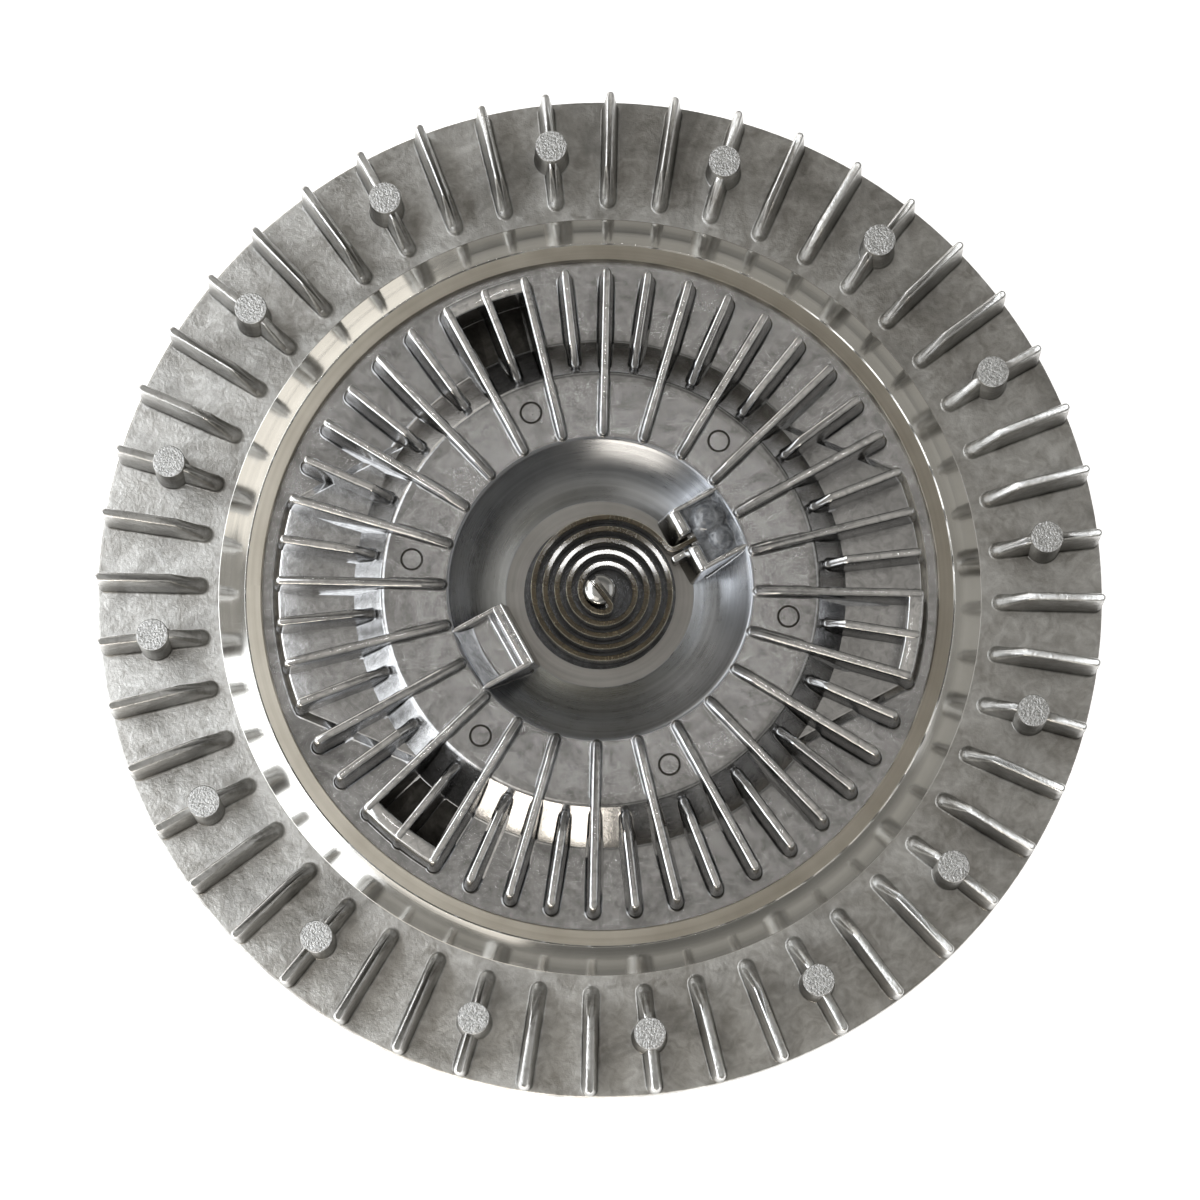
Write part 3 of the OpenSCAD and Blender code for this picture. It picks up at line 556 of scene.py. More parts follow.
def vector(parts):
    """A vector from the sockets of its parts, the first among them."""
    return add(parts[0].id_data, "ShaderNodeCombineXYZ", parts).outputs[0]


def axis_coordinates(place):
    """Distance from the axis, direction round it and height."""
    tree = place.id_data
    parts = add(tree, "ShaderNodeSeparateXYZ", {0: place}).outputs
    flat = vector({0: parts[0], 1: parts[1]})
    radius = add(tree, "ShaderNodeVectorMath", {0: flat}, operation="LENGTH").outputs["Value"]
    turn = math_node("ARCTAN2", parts[1], parts[0])
    return radius, turn, parts[2]


def finished(material, shader, colour, rough, normal):
    """The material, once these outputs feed its shader."""
    for socket, value in (("Base Color", colour), ("Roughness", rough), ("Normal", normal)):
        material.node_tree.links.new(value, shader.inputs[socket])
    return material


def coat(shader, roughness):
    """A clear, glossy layer on top."""
    shader.inputs["Coat Weight"].default_value = 1.0
    shader.inputs["Coat Roughness"].default_value = roughness


def wear_and_painted_light_of(place):
    """The wear attribute of the mesh's points, in the material of place: rubbed wear, painted highlight and painted
    shade.
    """
    return add(place.id_data, "ShaderNodeAttribute", attribute_name="wear").outputs["Fac"]


def cast_metal(name, dark, light, bright, rough_low, rough_high, grain, mottle):
    """Die-cast aluminium: cloudy flow marks, fine skin grain, crests rubbed bright, and painted shade where the
    attribute is below 0.
    """
    material, shader, place = start_material(name, 1.0)
    cloud = noise(place, mottle, 6.0, 0.7, 1.2)
    blotch = noise(place, 5.2 * mottle, 3.0, 0.5, 1.2)
    skin = noise(place, 1500.0, 3.0, 0.6)
    pit = noise(place, 4200.0, 2.0, 0.5)
    stain = noise(place, 0.45 * mottle, 4.0, 0.68, 1.6)
    colour = mixed(spread(weighed(cloud, 0.62, blotch, 0.38), 0.36, 0.64), dark, light)
    colour = mixed(spread(stain, 0.5, 0.72, 0.0, 0.6), colour, [0.5 * c for c in dark])
    wear = wear_and_painted_light_of(place)
    # Painted shade: where the attribute is below 0 (sides and feet of fins, bosses and blocks, and low ramps) the
    # colour goes towards a third of dark.
    painted_shade = math_node("MULTIPLY", spread(wear, 0.0, -1.0), spread(cloud, 0.3, 0.7, 0.95, 0.6))
    colour = mixed(painted_shade, colour, [0.3 * c for c in dark])
    rubbed = math_node("MULTIPLY", spread(wear, 0.0, 1.0), spread(blotch, 0.3, 0.55, 0.45, 1.0))
    colour = mixed(rubbed, colour, bright)
    rough = spread(weighed(cloud, 1.0, skin, 0.5), 0.5, 1.0, rough_low, rough_high)
    rough = math_node("SUBTRACT", rough, math_node("MULTIPLY", rubbed, 0.08))
    relief = bump(blotch, 0.35 * grain, 0.0006)
    relief = bump(skin, grain, 0.00022, relief)
    relief = bump(pit, 0.6 * grain, 0.00008, relief)
    return finished(material, shader, colour, rough, relief)


def sanded_metal(name, colour_low, colour_high, roughness):
    """Blasted aluminium of the boss tops: a sparkling, sandy face."""
    material, shader, place = start_material(name, 1.0)
    sand = noise(place, 2000.0, 2.0, 0.7)
    coarse = noise(place, 800.0, 3.0, 0.6)
    tone = weighed(sand, 0.7, coarse, 0.3)
    colour = mixed(spread(tone, 0.4, 0.62), colour_low, colour_high)
    rough = spread(coarse, 0.3, 0.7, roughness - 0.06, roughness + 0.1)
    return finished(material, shader, colour, rough, bump(sand, 0.9, 0.0004))


def turned_metal(name, dark, light, rough_low, rough_high, line, depth, cloud_scale=70.0):
    """Metal turned or burnished round the axis: rings of fine tool lines over slow changes of tone."""
    material, shader, place = start_material(name, 1.0)
    radius, turn, height = axis_coordinates(place)
    slant = weighed(radius, 1.0, height, 0.7)
    lines = vector({0: slant, 1: math_node("MULTIPLY", turn, 0.0004)})
    fine = noise(lines, line, 3.0, 0.65)
    broad = noise(lines, line / 9, 2.0, 0.5)
    cloud = noise(place, cloud_scale, 4.0, 0.6)
    colour = mixed(spread(weighed(broad, 0.5, cloud, 0.5), 0.34, 0.66), dark, light)
    rough = spread(math_node("ADD", fine, cloud), 0.7, 1.3, rough_low, rough_high)
    relief = bump(fine, depth, 0.00006, bump(broad, depth, 0.00025))
    return finished(material, shader, colour, rough, relief)


def rubber(name, dark, light, roughness):
    """Moulded rubber with a dusty, slightly pebbled skin."""
    material, shader, place = start_material(name, 0.0)
    dust = noise(place, 160.0, 5.0, 0.65)
    skin = noise(place, 2600.0, 2.0, 0.5)
    colour = mixed(spread(dust, 0.35, 0.7), dark, light)
    rough = spread(dust, 0.3, 0.7, roughness - 0.08, roughness + 0.12)
    return finished(material, shader, colour, rough, bump(skin, 0.25, 0.00012))


def bimetal_metal(name):
    """Rolled bimetal strip: bronze with a heat tint, lines along the strip and a painted highlight along its edges.
    """
    material, shader, place = start_material(name, 1.0)
    _, turn, height = axis_coordinates(place)
    lines = vector({0: math_node("MULTIPLY", turn, 0.001), 2: height})
    rolled = noise(lines, 5200.0, 3.0, 0.6)
    tint = noise(place, 240.0, 3.0, 0.55)
    colour = mixed(spread(tint, 0.35, 0.65), (0.065, 0.051, 0.031), (0.125, 0.10, 0.062))
    # Painted highlight: the strip's edges lightened where the attribute is high.
    colour = mixed(wear_and_painted_light_of(place), colour, (0.72, 0.68, 0.56))
    coat(shader, 0.03)
    rough = spread(rolled, 0.3, 0.7, 0.2, 0.36)
    return finished(material, shader, colour, rough, bump(rolled, 0.08, 0.00004))


def sealant_gloss(name):
    """Cured sealant: bluish grey, cloudy and glossy, with specks of dust under its skin."""
    material, shader, place = start_material(name, 0.0)
    cloud = noise(place, 420.0, 4.0, 0.6, 0.6)
    dust = noise(place, 3000.0, 2.0, 0.6)
    colour = mixed(spread(cloud, 0.35, 0.65), (0.12, 0.13, 0.145), (0.34, 0.355, 0.38))
    colour = mixed(spread(dust, 0.66, 0.72, 0.0, 0.5), colour, (0.5, 0.5, 0.5))
    coat(shader, 0.04)
    rough = spread(cloud, 0.3, 0.7, 0.04, 0.10)
    return finished(material, shader, colour, rough, bump(cloud, 0.3, 0.0006))


CAST_HOUSING = cast_metal("cast_housing", (0.42, 0.405, 0.38), (0.86, 0.855, 0.835), (0.95, 0.95, 0.94),
                          0.32, 0.50, 0.45, 60.0)
CAST_COVER = cast_metal("cast_cover", (0.40, 0.40, 0.40), (0.68, 0.68, 0.69), (0.95, 0.95, 0.95),
                        0.15, 0.29, 0.08, 80.0)
SANDED_BOSS = sanded_metal("sanded_boss_top", (0.55, 0.55, 0.545), (0.98, 0.98, 0.98), 0.42)
ROLLED_LIP = turned_metal("rolled_lip", (0.74, 0.725, 0.69), (0.93, 0.92, 0.89), 0.08, 0.17, 7000.0, 0.06)
LIP_SLOPE = turned_metal("lip_slope", (0.46, 0.42, 0.35), (0.66, 0.615, 0.535), 0.40, 0.54, 7000.0, 0.10)
SPUN_BOWL = turned_metal("spun_bowl", (0.34, 0.35, 0.375), (0.50, 0.515, 0.545), 0.24, 0.34, 8000.0, 0.02)
BOWL_FLOOR = turned_metal("bowl_floor", (0.36, 0.35, 0.335), (0.54, 0.53, 0.51), 0.28, 0.38, 8000.0, 0.03)
# Near-black cast skin that paints shade into the box pockets' floors and the ejector rings' grooves.
POCKET_PAINTED_SHADE = cast_metal("pocket_skin", (0.05, 0.047, 0.042), (0.13, 0.125, 0.115), (0.3, 0.3, 0.3),
                         0.3, 0.5, 0.3, 90.0)
# Painted shade: the bowl's floor under the coil made dark, for the shade between the coil's turns.
PAINTED_COIL_SHADE_FLOOR = turned_metal("oiled_floor", (0.06, 0.062, 0.066), (0.17, 0.175, 0.185), 0.20, 0.34,
                           8000.0, 0.05, 260.0)
TURNED_ALUMINIUM = turned_metal("turned_aluminium", (0.58, 0.58, 0.57), (0.74, 0.74, 0.73), 0.22, 0.36, 5200.0, 0.22)
STEEL = turned_metal("turned_steel", (0.30, 0.30, 0.30), (0.46, 0.455, 0.45), 0.26, 0.42, 5200.0, 0.2)
BEARING_STEEL = turned_metal("ground_bearing_steel", (0.50, 0.505, 0.51), (0.66, 0.665, 0.67), 0.12, 0.22,
                             11000.0, 0.06)
BRIGHT_STEEL = turned_metal("bright_steel", (0.62, 0.62, 0.61), (0.80, 0.80, 0.79), 0.10, 0.20, 9000.0, 0.08)
SPRING_STEEL = turned_metal("blued_spring_steel", (0.055, 0.055, 0.06), (0.12, 0.12, 0.125), 0.30, 0.45, 4200.0, 0.12)
CAGE_BRASS = turned_metal("cage_brass", (0.44, 0.33, 0.13), (0.62, 0.48, 0.21), 0.24, 0.38, 5200.0, 0.15)
SEAL_RUBBER = rubber("seal_rubber", (0.012, 0.012, 0.012), (0.05, 0.05, 0.052), 0.55)
BIMETAL = bimetal_metal("bimetal_strip")
SEALANT = sealant_gloss("sealant")

HOUSING_FINISHES = [CAST_HOUSING, ROLLED_LIP, LIP_SLOPE, SANDED_BOSS]
COVER_FINISHES = [CAST_COVER, SPUN_BOWL, BOWL_FLOOR, PAINTED_COIL_SHADE_FLOOR, POCKET_PAINTED_SHADE]
# A face's finish is its place in these lists
CAST = 0
LIP, SLOPE, SANDED = 1, 2, 3
SPUN, FLOOR, COIL_SHADE, PAINTED_POCKET_SHADE = 1, 2, 3, 4

NODE_FINISH = {
    CAST_HOUSING: ["housing_body"], CAST_COVER: ["front_cover"], BIMETAL: ["bimetal_coil"],
    SEALANT: ["anchor_sealant"], STEEL: ["pump_plate", "valve_arm", "drive_shaft"],
    BRIGHT_STEEL: ["pump_plate_rivets", "valve_shaft", "bearing_balls"],
    BEARING_STEEL: ["bearing_outer_race", "bearing_inner_race"], SPRING_STEEL: ["bearing_retaining_ring"],
    SEAL_RUBBER: ["cover_seal_ring", "valve_shaft_seal", "bearing_seal_front", "bearing_seal_rear"],
    TURNED_ALUMINIUM: ["rotor"], CAGE_BRASS: ["bearing_cage"],
}


def finish_nodes():
    """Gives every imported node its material."""
    for material, names in NODE_FINISH.items():
        for name in names:
            slots = frame["nodes"][name].data.materials
            slots.clear()
            slots.append(material)


# Threads

def thread_rows(low, high, pitch):
    """Heights along a threaded wall, from the top down."""
    return np.arange(high, low, -pitch / 6)


def threaded(crest_r, depth, pitch, low, high):
    """A radius function that sinks a right-hand thread into the wall at crest_r."""
    margin = 0.1

    def radius_of(r, z, turn):
        phase = z / pitch - turn / (2 * math.pi)
        wave = np.clip(1.5 * np.abs(2 * (phase - np.floor(phase)) - 1) - 0.25, 0, 1)
        inside = (np.abs(r - crest_r) < 1e-6) & (z < high - margin) & (z > low + margin)
        return np.where(inside, r + depth * wave, r)
    return radius_of


# Housing

def housing_outline():
    """Section of the housing with its fillets: hub, rear wall, flange, rolled lip, cover seat and chamber."""
    land_foot, land_half, seal_land = 1.1, 1, 0.8
    lip_under_z, seal_z, ring_z = COVER_TOP_Z + 0.02, COVER_Z - 1.9, RING_LOW_Z - 0.04
    lands = []
    for r in LAND_RADII[::-1]:
        lands += [(r + land_foot, FLOOR_Z, 0.3), (r + land_half, LAND_TOP_Z, 0.2),
                  (r - land_half, LAND_TOP_Z, 0.2), (r - land_foot, FLOOR_Z, 0.3)]
    return rounded([
        (BEARING_R, HUB_Z + 1), (BEARING_R + 1, HUB_Z), (HUB_R, HUB_Z, 1.0), (HUB_R + 2, REAR_WALL_Z, 2.0),
        (WALL_R - WALL_CHAMFER, REAR_WALL_Z, 1.5), (WALL_R, REAR_WALL_Z + WALL_CHAMFER, 1.5), (WALL_R, FLANGE_Z, 2.0),
        (RIM_R, FLANGE_Z, 0.8), (RIM_R, RIM_Z, 0.5), (LIP_FOOT_R, RIM_Z, 0.4),
        ((LIP_FOOT_R + SEAT_R) / 2, RIM_Z + 1.8, 9.0), (SEAT_R + 0.3, LIP_Z, 0.15), (SEAT_R, LIP_Z - 0.25, 0.1),
        (LIP_EDGE_R, LIP_Z + 0.3, 0.3), (LIP_EDGE_R, lip_under_z), (SEAT_R, lip_under_z),
        (SEAT_R, COVER_Z), (SEAT_R - seal_land, COVER_Z), (SEAT_R - seal_land, seal_z),
        (CHAMBER_R + seal_land, seal_z), (CHAMBER_R + seal_land, COVER_Z),
        (CHAMBER_R, COVER_Z), (CHAMBER_R, FLOOR_Z), *lands,
        (SHOULDER_R, FLOOR_Z), (SHOULDER_R, BEARING_TOP_Z),
        (BEARING_R, BEARING_TOP_Z), (BEARING_R, BEARING_LOW_Z), (RING_GROOVE_R, BEARING_LOW_Z),
        (RING_GROOVE_R, ring_z), (BEARING_R, ring_z)])


def housing_finish(r, z):
    """The rolled lip's polished back, its matt inner slope, or the cast skin."""
    if z < RIM_Z - 0.01 or r > LIP_FOOT_R + 0.4:
        return CAST
    return LIP if r > SEAT_R - 0.03 else SLOPE


def flange_fin(shells, index):
    """A flange fin that climbs from its nose at the lip and ends flush with the rim."""
    direction = FLANGE_PITCH * index
    nose, inset = 1.5, 0.12
    bend = FLANGE_RAMP - nose
    path = line_path(polar(FLANGE_TIP_R + nose, direction), polar(RIM_R - inset, direction))
    rib(shells, path, ramped(FLANGE_NOSE_Z, FLANGE_FIN_Z, bend), level(RIM_Z), flat=CREST_FLAT, draft=3.5,
        flush=(False, True), stations=18, bends=(bend - BEND_HALF, bend + BEND_HALF), seed=index + 0.5)


def rear_fin(shells, direction):
    """Fin of the rear wall, built upside down and then turned over."""
    start, end = polar(HUB_R + 0.2, direction), polar(WALL_R - WALL_CHAMFER, direction)
    length, run, least = np.linalg.norm(end - start), 2 * WALL_CHAMFER, 0.4
    top = REAR_FIN_H - REAR_WALL_Z

    def crest(s):
        return top - (REAR_FIN_H - least) * np.clip((s - length + run) / run, 0, 1)
    over = Shells()
    rib(over, line_path(start * [1, -1], end * [1, -1]), crest, level(-REAR_WALL_Z), draft=2.5, fillet=0.9,
        stations=12, seed=direction)
    shells.add(over.points[0] * [1, -1, -1], over.faces, wear=over.wear[0])


def bolt_place(index):
    """Plan place of a tapped fan bolt hole."""
    return polar(BOSS_R, 360.0 * index / FAN_BOLTS + FLANGE_PITCH)


def bolt_thread(shells, centre):
    """Threaded wall of a fan bolt hole."""
    low, high, pitch = FLANGE_Z + 0.4, RIM_Z - 0.62, 1.0
    wall = FAN_BOLT_R + 0.5
    rows = [(FAN_BOLT_R, z) for z in thread_rows(low, high, pitch)]
    shells.revolve([(wall, high), *rows, (wall, low - 0.3)], 32,
                   radius_of=threaded(FAN_BOLT_R, 0.4, pitch, low, high), centre=centre)


def build_housing():
    """The housing casting, in place of the plain solid."""
    turned_shell, drills = Shells(), Shells()
    turned_shell.revolve(housing_outline(), SEGMENTS, housing_finish)
    for index in range(FAN_BOLTS):
        drills.disc(bolt_place(index), FAN_BOLT_R + 0.45, FLANGE_Z - 1, RIM_Z - 0.6, 32)
    shells = turned_shell.cut(drills, HOUSING_FINISHES)
    for index in range(FAN_BOLTS):
        bolt_thread(shells, bolt_place(index))
    for index in range(FLANGE_FINS):
        flange_fin(shells, index)
    for index in range(BOSSES):
        boss(shells, polar(BOSS_R, FLANGE_PITCH * (3 * index + 1)))
    for index in range(REAR_FINS):
        rear_fin(shells, 360.0 * index / REAR_FINS)
    return shells.piece("housing_casting", HOUSING_FINISHES)


# Cover

def bowl_wall(share):
    """A point of the bowl's concave wall, from the floor's edge at 0 to the rim at 1."""
    return (BOWL_FLOOR_R + (BOWL_R - BOWL_FLOOR_R) * share,
            BOWL_Z + (DOME_Z - BOWL_Z) * share - 4 * BOWL_SAG * share * (1 - share))


def cover_surface():
    """The cover's upper outline from the plate's edge to the bowl's floor, as corners. The plain
    corners beside the fillets keep the shading of the flat faces even."""
    plate = [(COVER_R, COVER_TOP_Z), (RISER_R + 2.5, COVER_TOP_Z), (RISER_R, COVER_TOP_Z, 1.2)]
    dome = [(DOME_R, DOME_Z, 1.6), (DOME_R - 2.2, DOME_Z), (BOWL_R + 2.5, DOME_Z), (BOWL_R, DOME_Z, 1.0)]
    wall = [bowl_wall(share) for share in np.linspace(0.92, 0.08, 14)]
    floor = [(BOWL_FLOOR_R, BOWL_Z, 0.4), (COIL_SHADE_R, BOWL_Z), (VALVE_BORE_R + 0.4, BOWL_Z),
             (VALVE_BORE_R, BOWL_Z - 0.4)]
    return plate + dome + wall + floor


def cover_outline():
    """Section of the cover: reservoir side, then the plate, riser, dome and bowl."""
    under_z, rib_z = PLATE_TOP_Z + 1.6, COVER_Z + 0.5
    inner = [(VALVE_BORE_R, under_z), (BOWL_FLOOR_R + COVER_WALL, under_z),
             (BOWL_R + COVER_WALL, DOME_Z - COVER_WALL), (DOME_R - COVER_WALL, DOME_Z - COVER_WALL),
             (RISER_R - COVER_WALL, rib_z), (RIB_R, rib_z), (RIB_R, PLATE_TOP_Z),
             (PLATE_R, PLATE_TOP_Z), (PLATE_R, COVER_Z), (COVER_R, COVER_Z)]
    return rounded(inner + cover_surface())


COVER_PROFILE = rounded(cover_surface())[::-1]


def cover_floor(radius):
    """Height of the cover's upper face at a radius."""
    return np.interp(radius, COVER_PROFILE[:, 0], COVER_PROFILE[:, 1])


def cover_finish(r, z):
    """The bowl's spun wall, its floor, the part of it under the coil that is darkened with painted shade, or the cast
    skin.
    """
    if r > BOWL_R + 0.4 or z < BOWL_Z - 0.1:
        return CAST
    if r > BOWL_FLOOR_R - 0.3:
        return SPUN
    return FLOOR if r > COIL_SHADE_R else COIL_SHADE


def ejector_marks():
    """Rings on the dome and half moons at the lip, left by the mould's pins; the rings' groove walls take the
    near-black painted shade of the pockets.
    """
    marks, inner_r, outer_r, over = 6, 2.0, 2.5, 1
    ring_z, moon_z = DOME_Z - 0.4, COVER_TOP_Z - 0.3
    ring = [(inner_r, ring_z), (outer_r, ring_z), (outer_r, DOME_Z + over), (inner_r, DOME_Z + over)]
    tools = Shells()
    for turn in range(0, 360, 360 // marks):
        tools.revolve(ring, 40, finish_of=lambda r, z: PAINTED_POCKET_SHADE, centre=polar(41.4, 52.5 + turn))
        tools.disc(polar(LIP_EDGE_R - 0.6, 36 + turn), outer_r, moon_z, COVER_TOP_Z + over)
    return tools


def cover_fin(shells, direction, tip_r, nose_z, ramp, seed):
    """A cover fin that climbs from its nose at tip_r."""
    nose = 0.9
    bend = ramp - nose
    path = line_path(polar(tip_r + nose, direction), polar(COVER_FIN_R - nose, direction))
    rib(shells, path, ramped(nose_z, CREST_Z, bend), cover_floor, flat=CREST_FLAT, lean=(0.0, 0.03), stations=20,
        bends=(bend - BEND_HALF, bend + BEND_HALF), seed=seed)


def fin_box(shells, first):
    """Flat-topped bar that joins the ends of two long fins, and a thin near-black sheet of painted shade on the floor
    of the pocket behind it.
    """
    half, edge, over, below = 1.65, 0.4, 0.9, 0.25
    last = first + COVER_PITCH
    path = arc_path(COVER_FIN_R - half, first - over, last + over)
    rib(shells, path, level(CREST_Z - below), cover_floor, crest_r=edge, flat=half - edge, flush=(True, True),
        seed=first, rough=0.4)
    inner_r, outer_r = RISER_R - UNDER_RISER, COVER_FIN_R - 2 * half - 0.6
    inner_gap, outer_gap = 1.7, 1.4
    floor = [polar(outer_r, a) for a in np.linspace(first + outer_gap, last - outer_gap, 16)]
    floor += [polar(inner_r, a) for a in np.linspace(last - inner_gap, first + inner_gap, 16)]
    steps = [(0, COVER_TOP_Z - SINK, 0), (0, COVER_TOP_Z, 0), (0.1, COVER_TOP_Z + 0.06, 0)]
    plateau(shells, floor, steps, PAINTED_POCKET_SHADE)


def pad(shells, middle):
    """Raised pad: a sector of the plate between the riser and the lip, with drafted sides."""
    outer_r, inner_r = LIP_EDGE_R - 2.4, RISER_R - UNDER_RISER
    outer_a, riser_a, corner_a = 19.0, 38.0, 0.7
    corner, foot = polar(outer_r, outer_a), polar(RISER_R, riser_a)
    side = [corner + (foot - corner) * share for share in np.linspace(0.04, 1.2, 30)]
    side_end = math.degrees(math.atan2(side[-1][1], side[-1][0]))
    outer = [polar(outer_r, a) for a in np.linspace(corner_a - outer_a, outer_a - corner_a, 30)]
    inner = [polar(inner_r, a) for a in np.linspace(side_end, -side_end, 40)]
    outline = outer + side + inner + [p * [1, -1] for p in side[::-1]]
    top = COVER_TOP_Z + PAD_H
    steps = [(-0.45, COVER_TOP_Z - SINK, 0), (-0.4, COVER_TOP_Z + 0.03, 0), (-0.1, COVER_TOP_Z + 0.15, 0.2),
             (0.1, COVER_TOP_Z + 0.5, 0.7), (1.1, top - 0.4, 0.8), (1.3, top - 0.1, 1.0), (1.7, top, 0.2)]
    plateau(shells, [turned(p, middle) for p in outline], steps)


def anchor_place(direction):
    """Plan places from distances along and across an anchor's direction."""
    out, side = polar(1, direction), polar(1, direction + 90)
    return lambda r, t: np.multiply.outer(r, out) + np.multiply.outer(t, side)


def anchor_sides(shells, place, first_r):
    """Pocket floor and thin side walls of an anchor, which run out into the bowl's rim."""
    floor_r, wall_end_r = (22.4, 32.3), 32.4
    sides = (-ANCHOR_HALF, ANCHOR_HALF)
    blanket(shells, place, floor_r, sides, level(BOWL_Z - SINK),
            lambda r, t: np.maximum(ANCHOR_FLOOR_Z, cover_floor(np.hypot(r, t)) + 0.1))
    for side in sides:
        path = line_path(place(first_r, side), place(wall_end_r, side))
        rib(shells, path, level(ANCHOR_TOP_Z), cover_floor, crest_r=0.5, flat=0.12, draft=2.5, fillet=0.4,
            stations=16, seed=side, rough=1.6)


def cradle(shells):
    """Plain anchor: a bar with two thin grooves in its top, a ridge at its foot, and its side walls."""
    place = anchor_place(ANCHOR_A + 180)
    anchor_sides(shells, place, 21.8)
    start_r, groove_r, end_r, half = 20.2, (20.95, 21.5), 22.8, 7.4
    groove_z, foot_z = ANCHOR_TOP_Z - 0.6, ANCHOR_TOP_Z - 0.9
    block(shells, place, (start_r, end_r), (-half, half), BOWL_Z - SINK, groove_z, lean=(0.13, 0.12), edge=0.2,
          wear_and_shade_scale=0.2)
    for limits in ((start_r, groove_r[0]), (groove_r[1], end_r)):
        block(shells, place, limits, (-half, half), foot_z, ANCHOR_TOP_Z, edge=0.3)
    for limits in ((-half, -5.0), (-0.5, 0.5), (5.0, half)):
        block(shells, place, (20.4, 22.6), limits, foot_z, ANCHOR_TOP_Z - 0.05, edge=0.2)
    ridge_r, ridge_half, ridge_h = 23.9, 6.2, 0.45
    rib(shells, line_path(place(ridge_r, -ridge_half), place(ridge_r, ridge_half)), level(ANCHOR_FLOOR_Z + ridge_h),
        level(ANCHOR_FLOOR_Z), crest_r=0.3, draft=10, fillet=0.2, stations=10, seed=5.0)


def clamp(shells):
    """Anchor that holds the coil's tail: two rounded jaws beside the strip, a finger, and its side walls."""
    place = anchor_place(ANCHOR_A)
    anchor_sides(shells, place, 22.4)
    jaw_r, finger_r, finger = (ANCHOR_R, 23.6), (17.0, 21.5), (-2.5, -0.95)
    for jaw in ((1.3, 7.5), (-7.6, -1.5)):
        block(shells, place, jaw_r, jaw, BOWL_Z - SINK, ANCHOR_TOP_Z, lean=(0.25, 0.05), edge=0.95)
    block(shells, place, finger_r, finger, BOWL_Z - SINK, COIL_HIGH_Z, draft=0.01, edge=0.5)


def build_cover():
    """The cover casting, in place of the plain solid."""
    turned_shell = Shells()
    turned_shell.revolve(cover_outline(), SEGMENTS, cover_finish)
    shells = turned_shell.cut(ejector_marks(), COVER_FINISHES)
    short_nose_z = DOME_Z - (SHORT_TIP_R - DOME_R) * (DOME_Z - COVER_TOP_Z) / (RISER_R - DOME_R) + COVER_NOSE
    for index in range(COVER_FINS):
        direction = COVER_PITCH * index
        cover_fin(shells, direction, LONG_TIP_R, DOME_Z + COVER_NOSE, LONG_RAMP, index + 60.0)
        cover_fin(shells, direction + COVER_PITCH / 2, SHORT_TIP_R, short_nose_z, SHORT_RAMP, index + 90.0)
    for first in (105, 225, 345):
        fin_box(shells, first)
    for middle in (184, 4):
        pad(shells, middle)
    cradle(shells)
    clamp(shells)
    return shells.piece("cover_casting", COVER_FINISHES)


def build_sealant():
    """Cured sealant that fills the clamp's pocket, with drops standing on it."""
    start_r, end_r, half, climb_run = 23.7, 32.7, 6.6, 0.5
    level_z = DOME_Z - 1.7
    drops = (((28.1, 2.4), (3.8, 3.6), 3.0), ((28.7, -2.6), (2.6, 3.0), 1.5), ((24.8, 0.2), (1.7, 1.9), 1.2))

    def drop(r, t, place, size, height):
        far = ((r - place[0]) / size[0]) ** 2 + ((t - place[1]) / size[1]) ** 2
        return height * np.clip(1 - far, 0, 1) ** 0.55

    def top(r, t):
        highest = np.max([drop(r, t, *each) for each in drops], axis=0)
        climb = 0.5 * np.exp(-(half - np.abs(t)) / climb_run) + 0.4 * np.exp(-(r - start_r) / climb_run)
        wall = cover_floor(np.hypot(r, t)) + 0.16
        return np.maximum(level_z + climb + highest, np.minimum(wall, DOME_Z + 0.05))
    shells = Shells()
    low = level(ANCHOR_FLOOR_Z - 0.3)
    blanket(shells, anchor_place(ANCHOR_A), (start_r, end_r), (-half, half), low, top, steps=44)
    return shells.piece("sealant_fill", [SEALANT], 60.0)


# Coil

def arc_points(centre, radius, first, last, count):
    return [np.asarray(centre) + polar(radius, a) for a in np.linspace(first, last, count)]


def coil_line():
    """Middle line of the bimetal strip, from its clamped tail to its hook, and each point's share of the winding."""
    centre = np.array([COIL_SHIFT, 0.0])
    tail_c, hook_c = turned(centre, -ANCHOR_A), turned(centre, -SLOT_A)
    tail_at = [tail_c[0] + math.sqrt((COIL_R + TAIL_BEND) ** 2 - (TAIL_BEND - tail_c[1]) ** 2), TAIL_BEND]
    hook_at = [hook_c[0] + math.sqrt((CORE_R - HOOK_BEND) ** 2 - (HOOK_BEND + hook_c[1]) ** 2), -HOOK_BEND]
    tail_a = math.degrees(math.atan2(tail_at[1] - tail_c[1], tail_at[0] - tail_c[0]))
    hook_a = math.degrees(math.atan2(hook_at[1] - hook_c[1], hook_at[0] - hook_c[0]))
    start, end = ANCHOR_A + tail_a, SLOT_A + hook_a + 360 * COIL_TURNS
    tail = [np.array([r, 0.0]) for r in np.linspace(TAIL_END_R, ANCHOR_R, 5)]
    tail += arc_points(tail_at, TAIL_BEND, 270, 180 + tail_a, 12)
    hook = arc_points(hook_at, HOOK_BEND, hook_a + 15, 90, 10) + [np.array([-VALVE_R / 2, 0.0])]
    steps = 100 * COIL_TURNS
    spiral = [centre + polar(COIL_R + (CORE_R - COIL_R) * i / steps, start + (end - start) * i / steps)
              for i in range(1, steps + 1)]
    line = np.array([turned(p, ANCHOR_A) for p in tail] + spiral + [turned(p, SLOT_A) for p in hook])
    run = np.concatenate([[0], np.cumsum(np.linalg.norm(np.diff(line, axis=0), axis=1))])
    first, last = run[len(tail) - 1], run[len(tail) + steps]
    return line, np.clip((run - first) / (last - first), 0, 1)


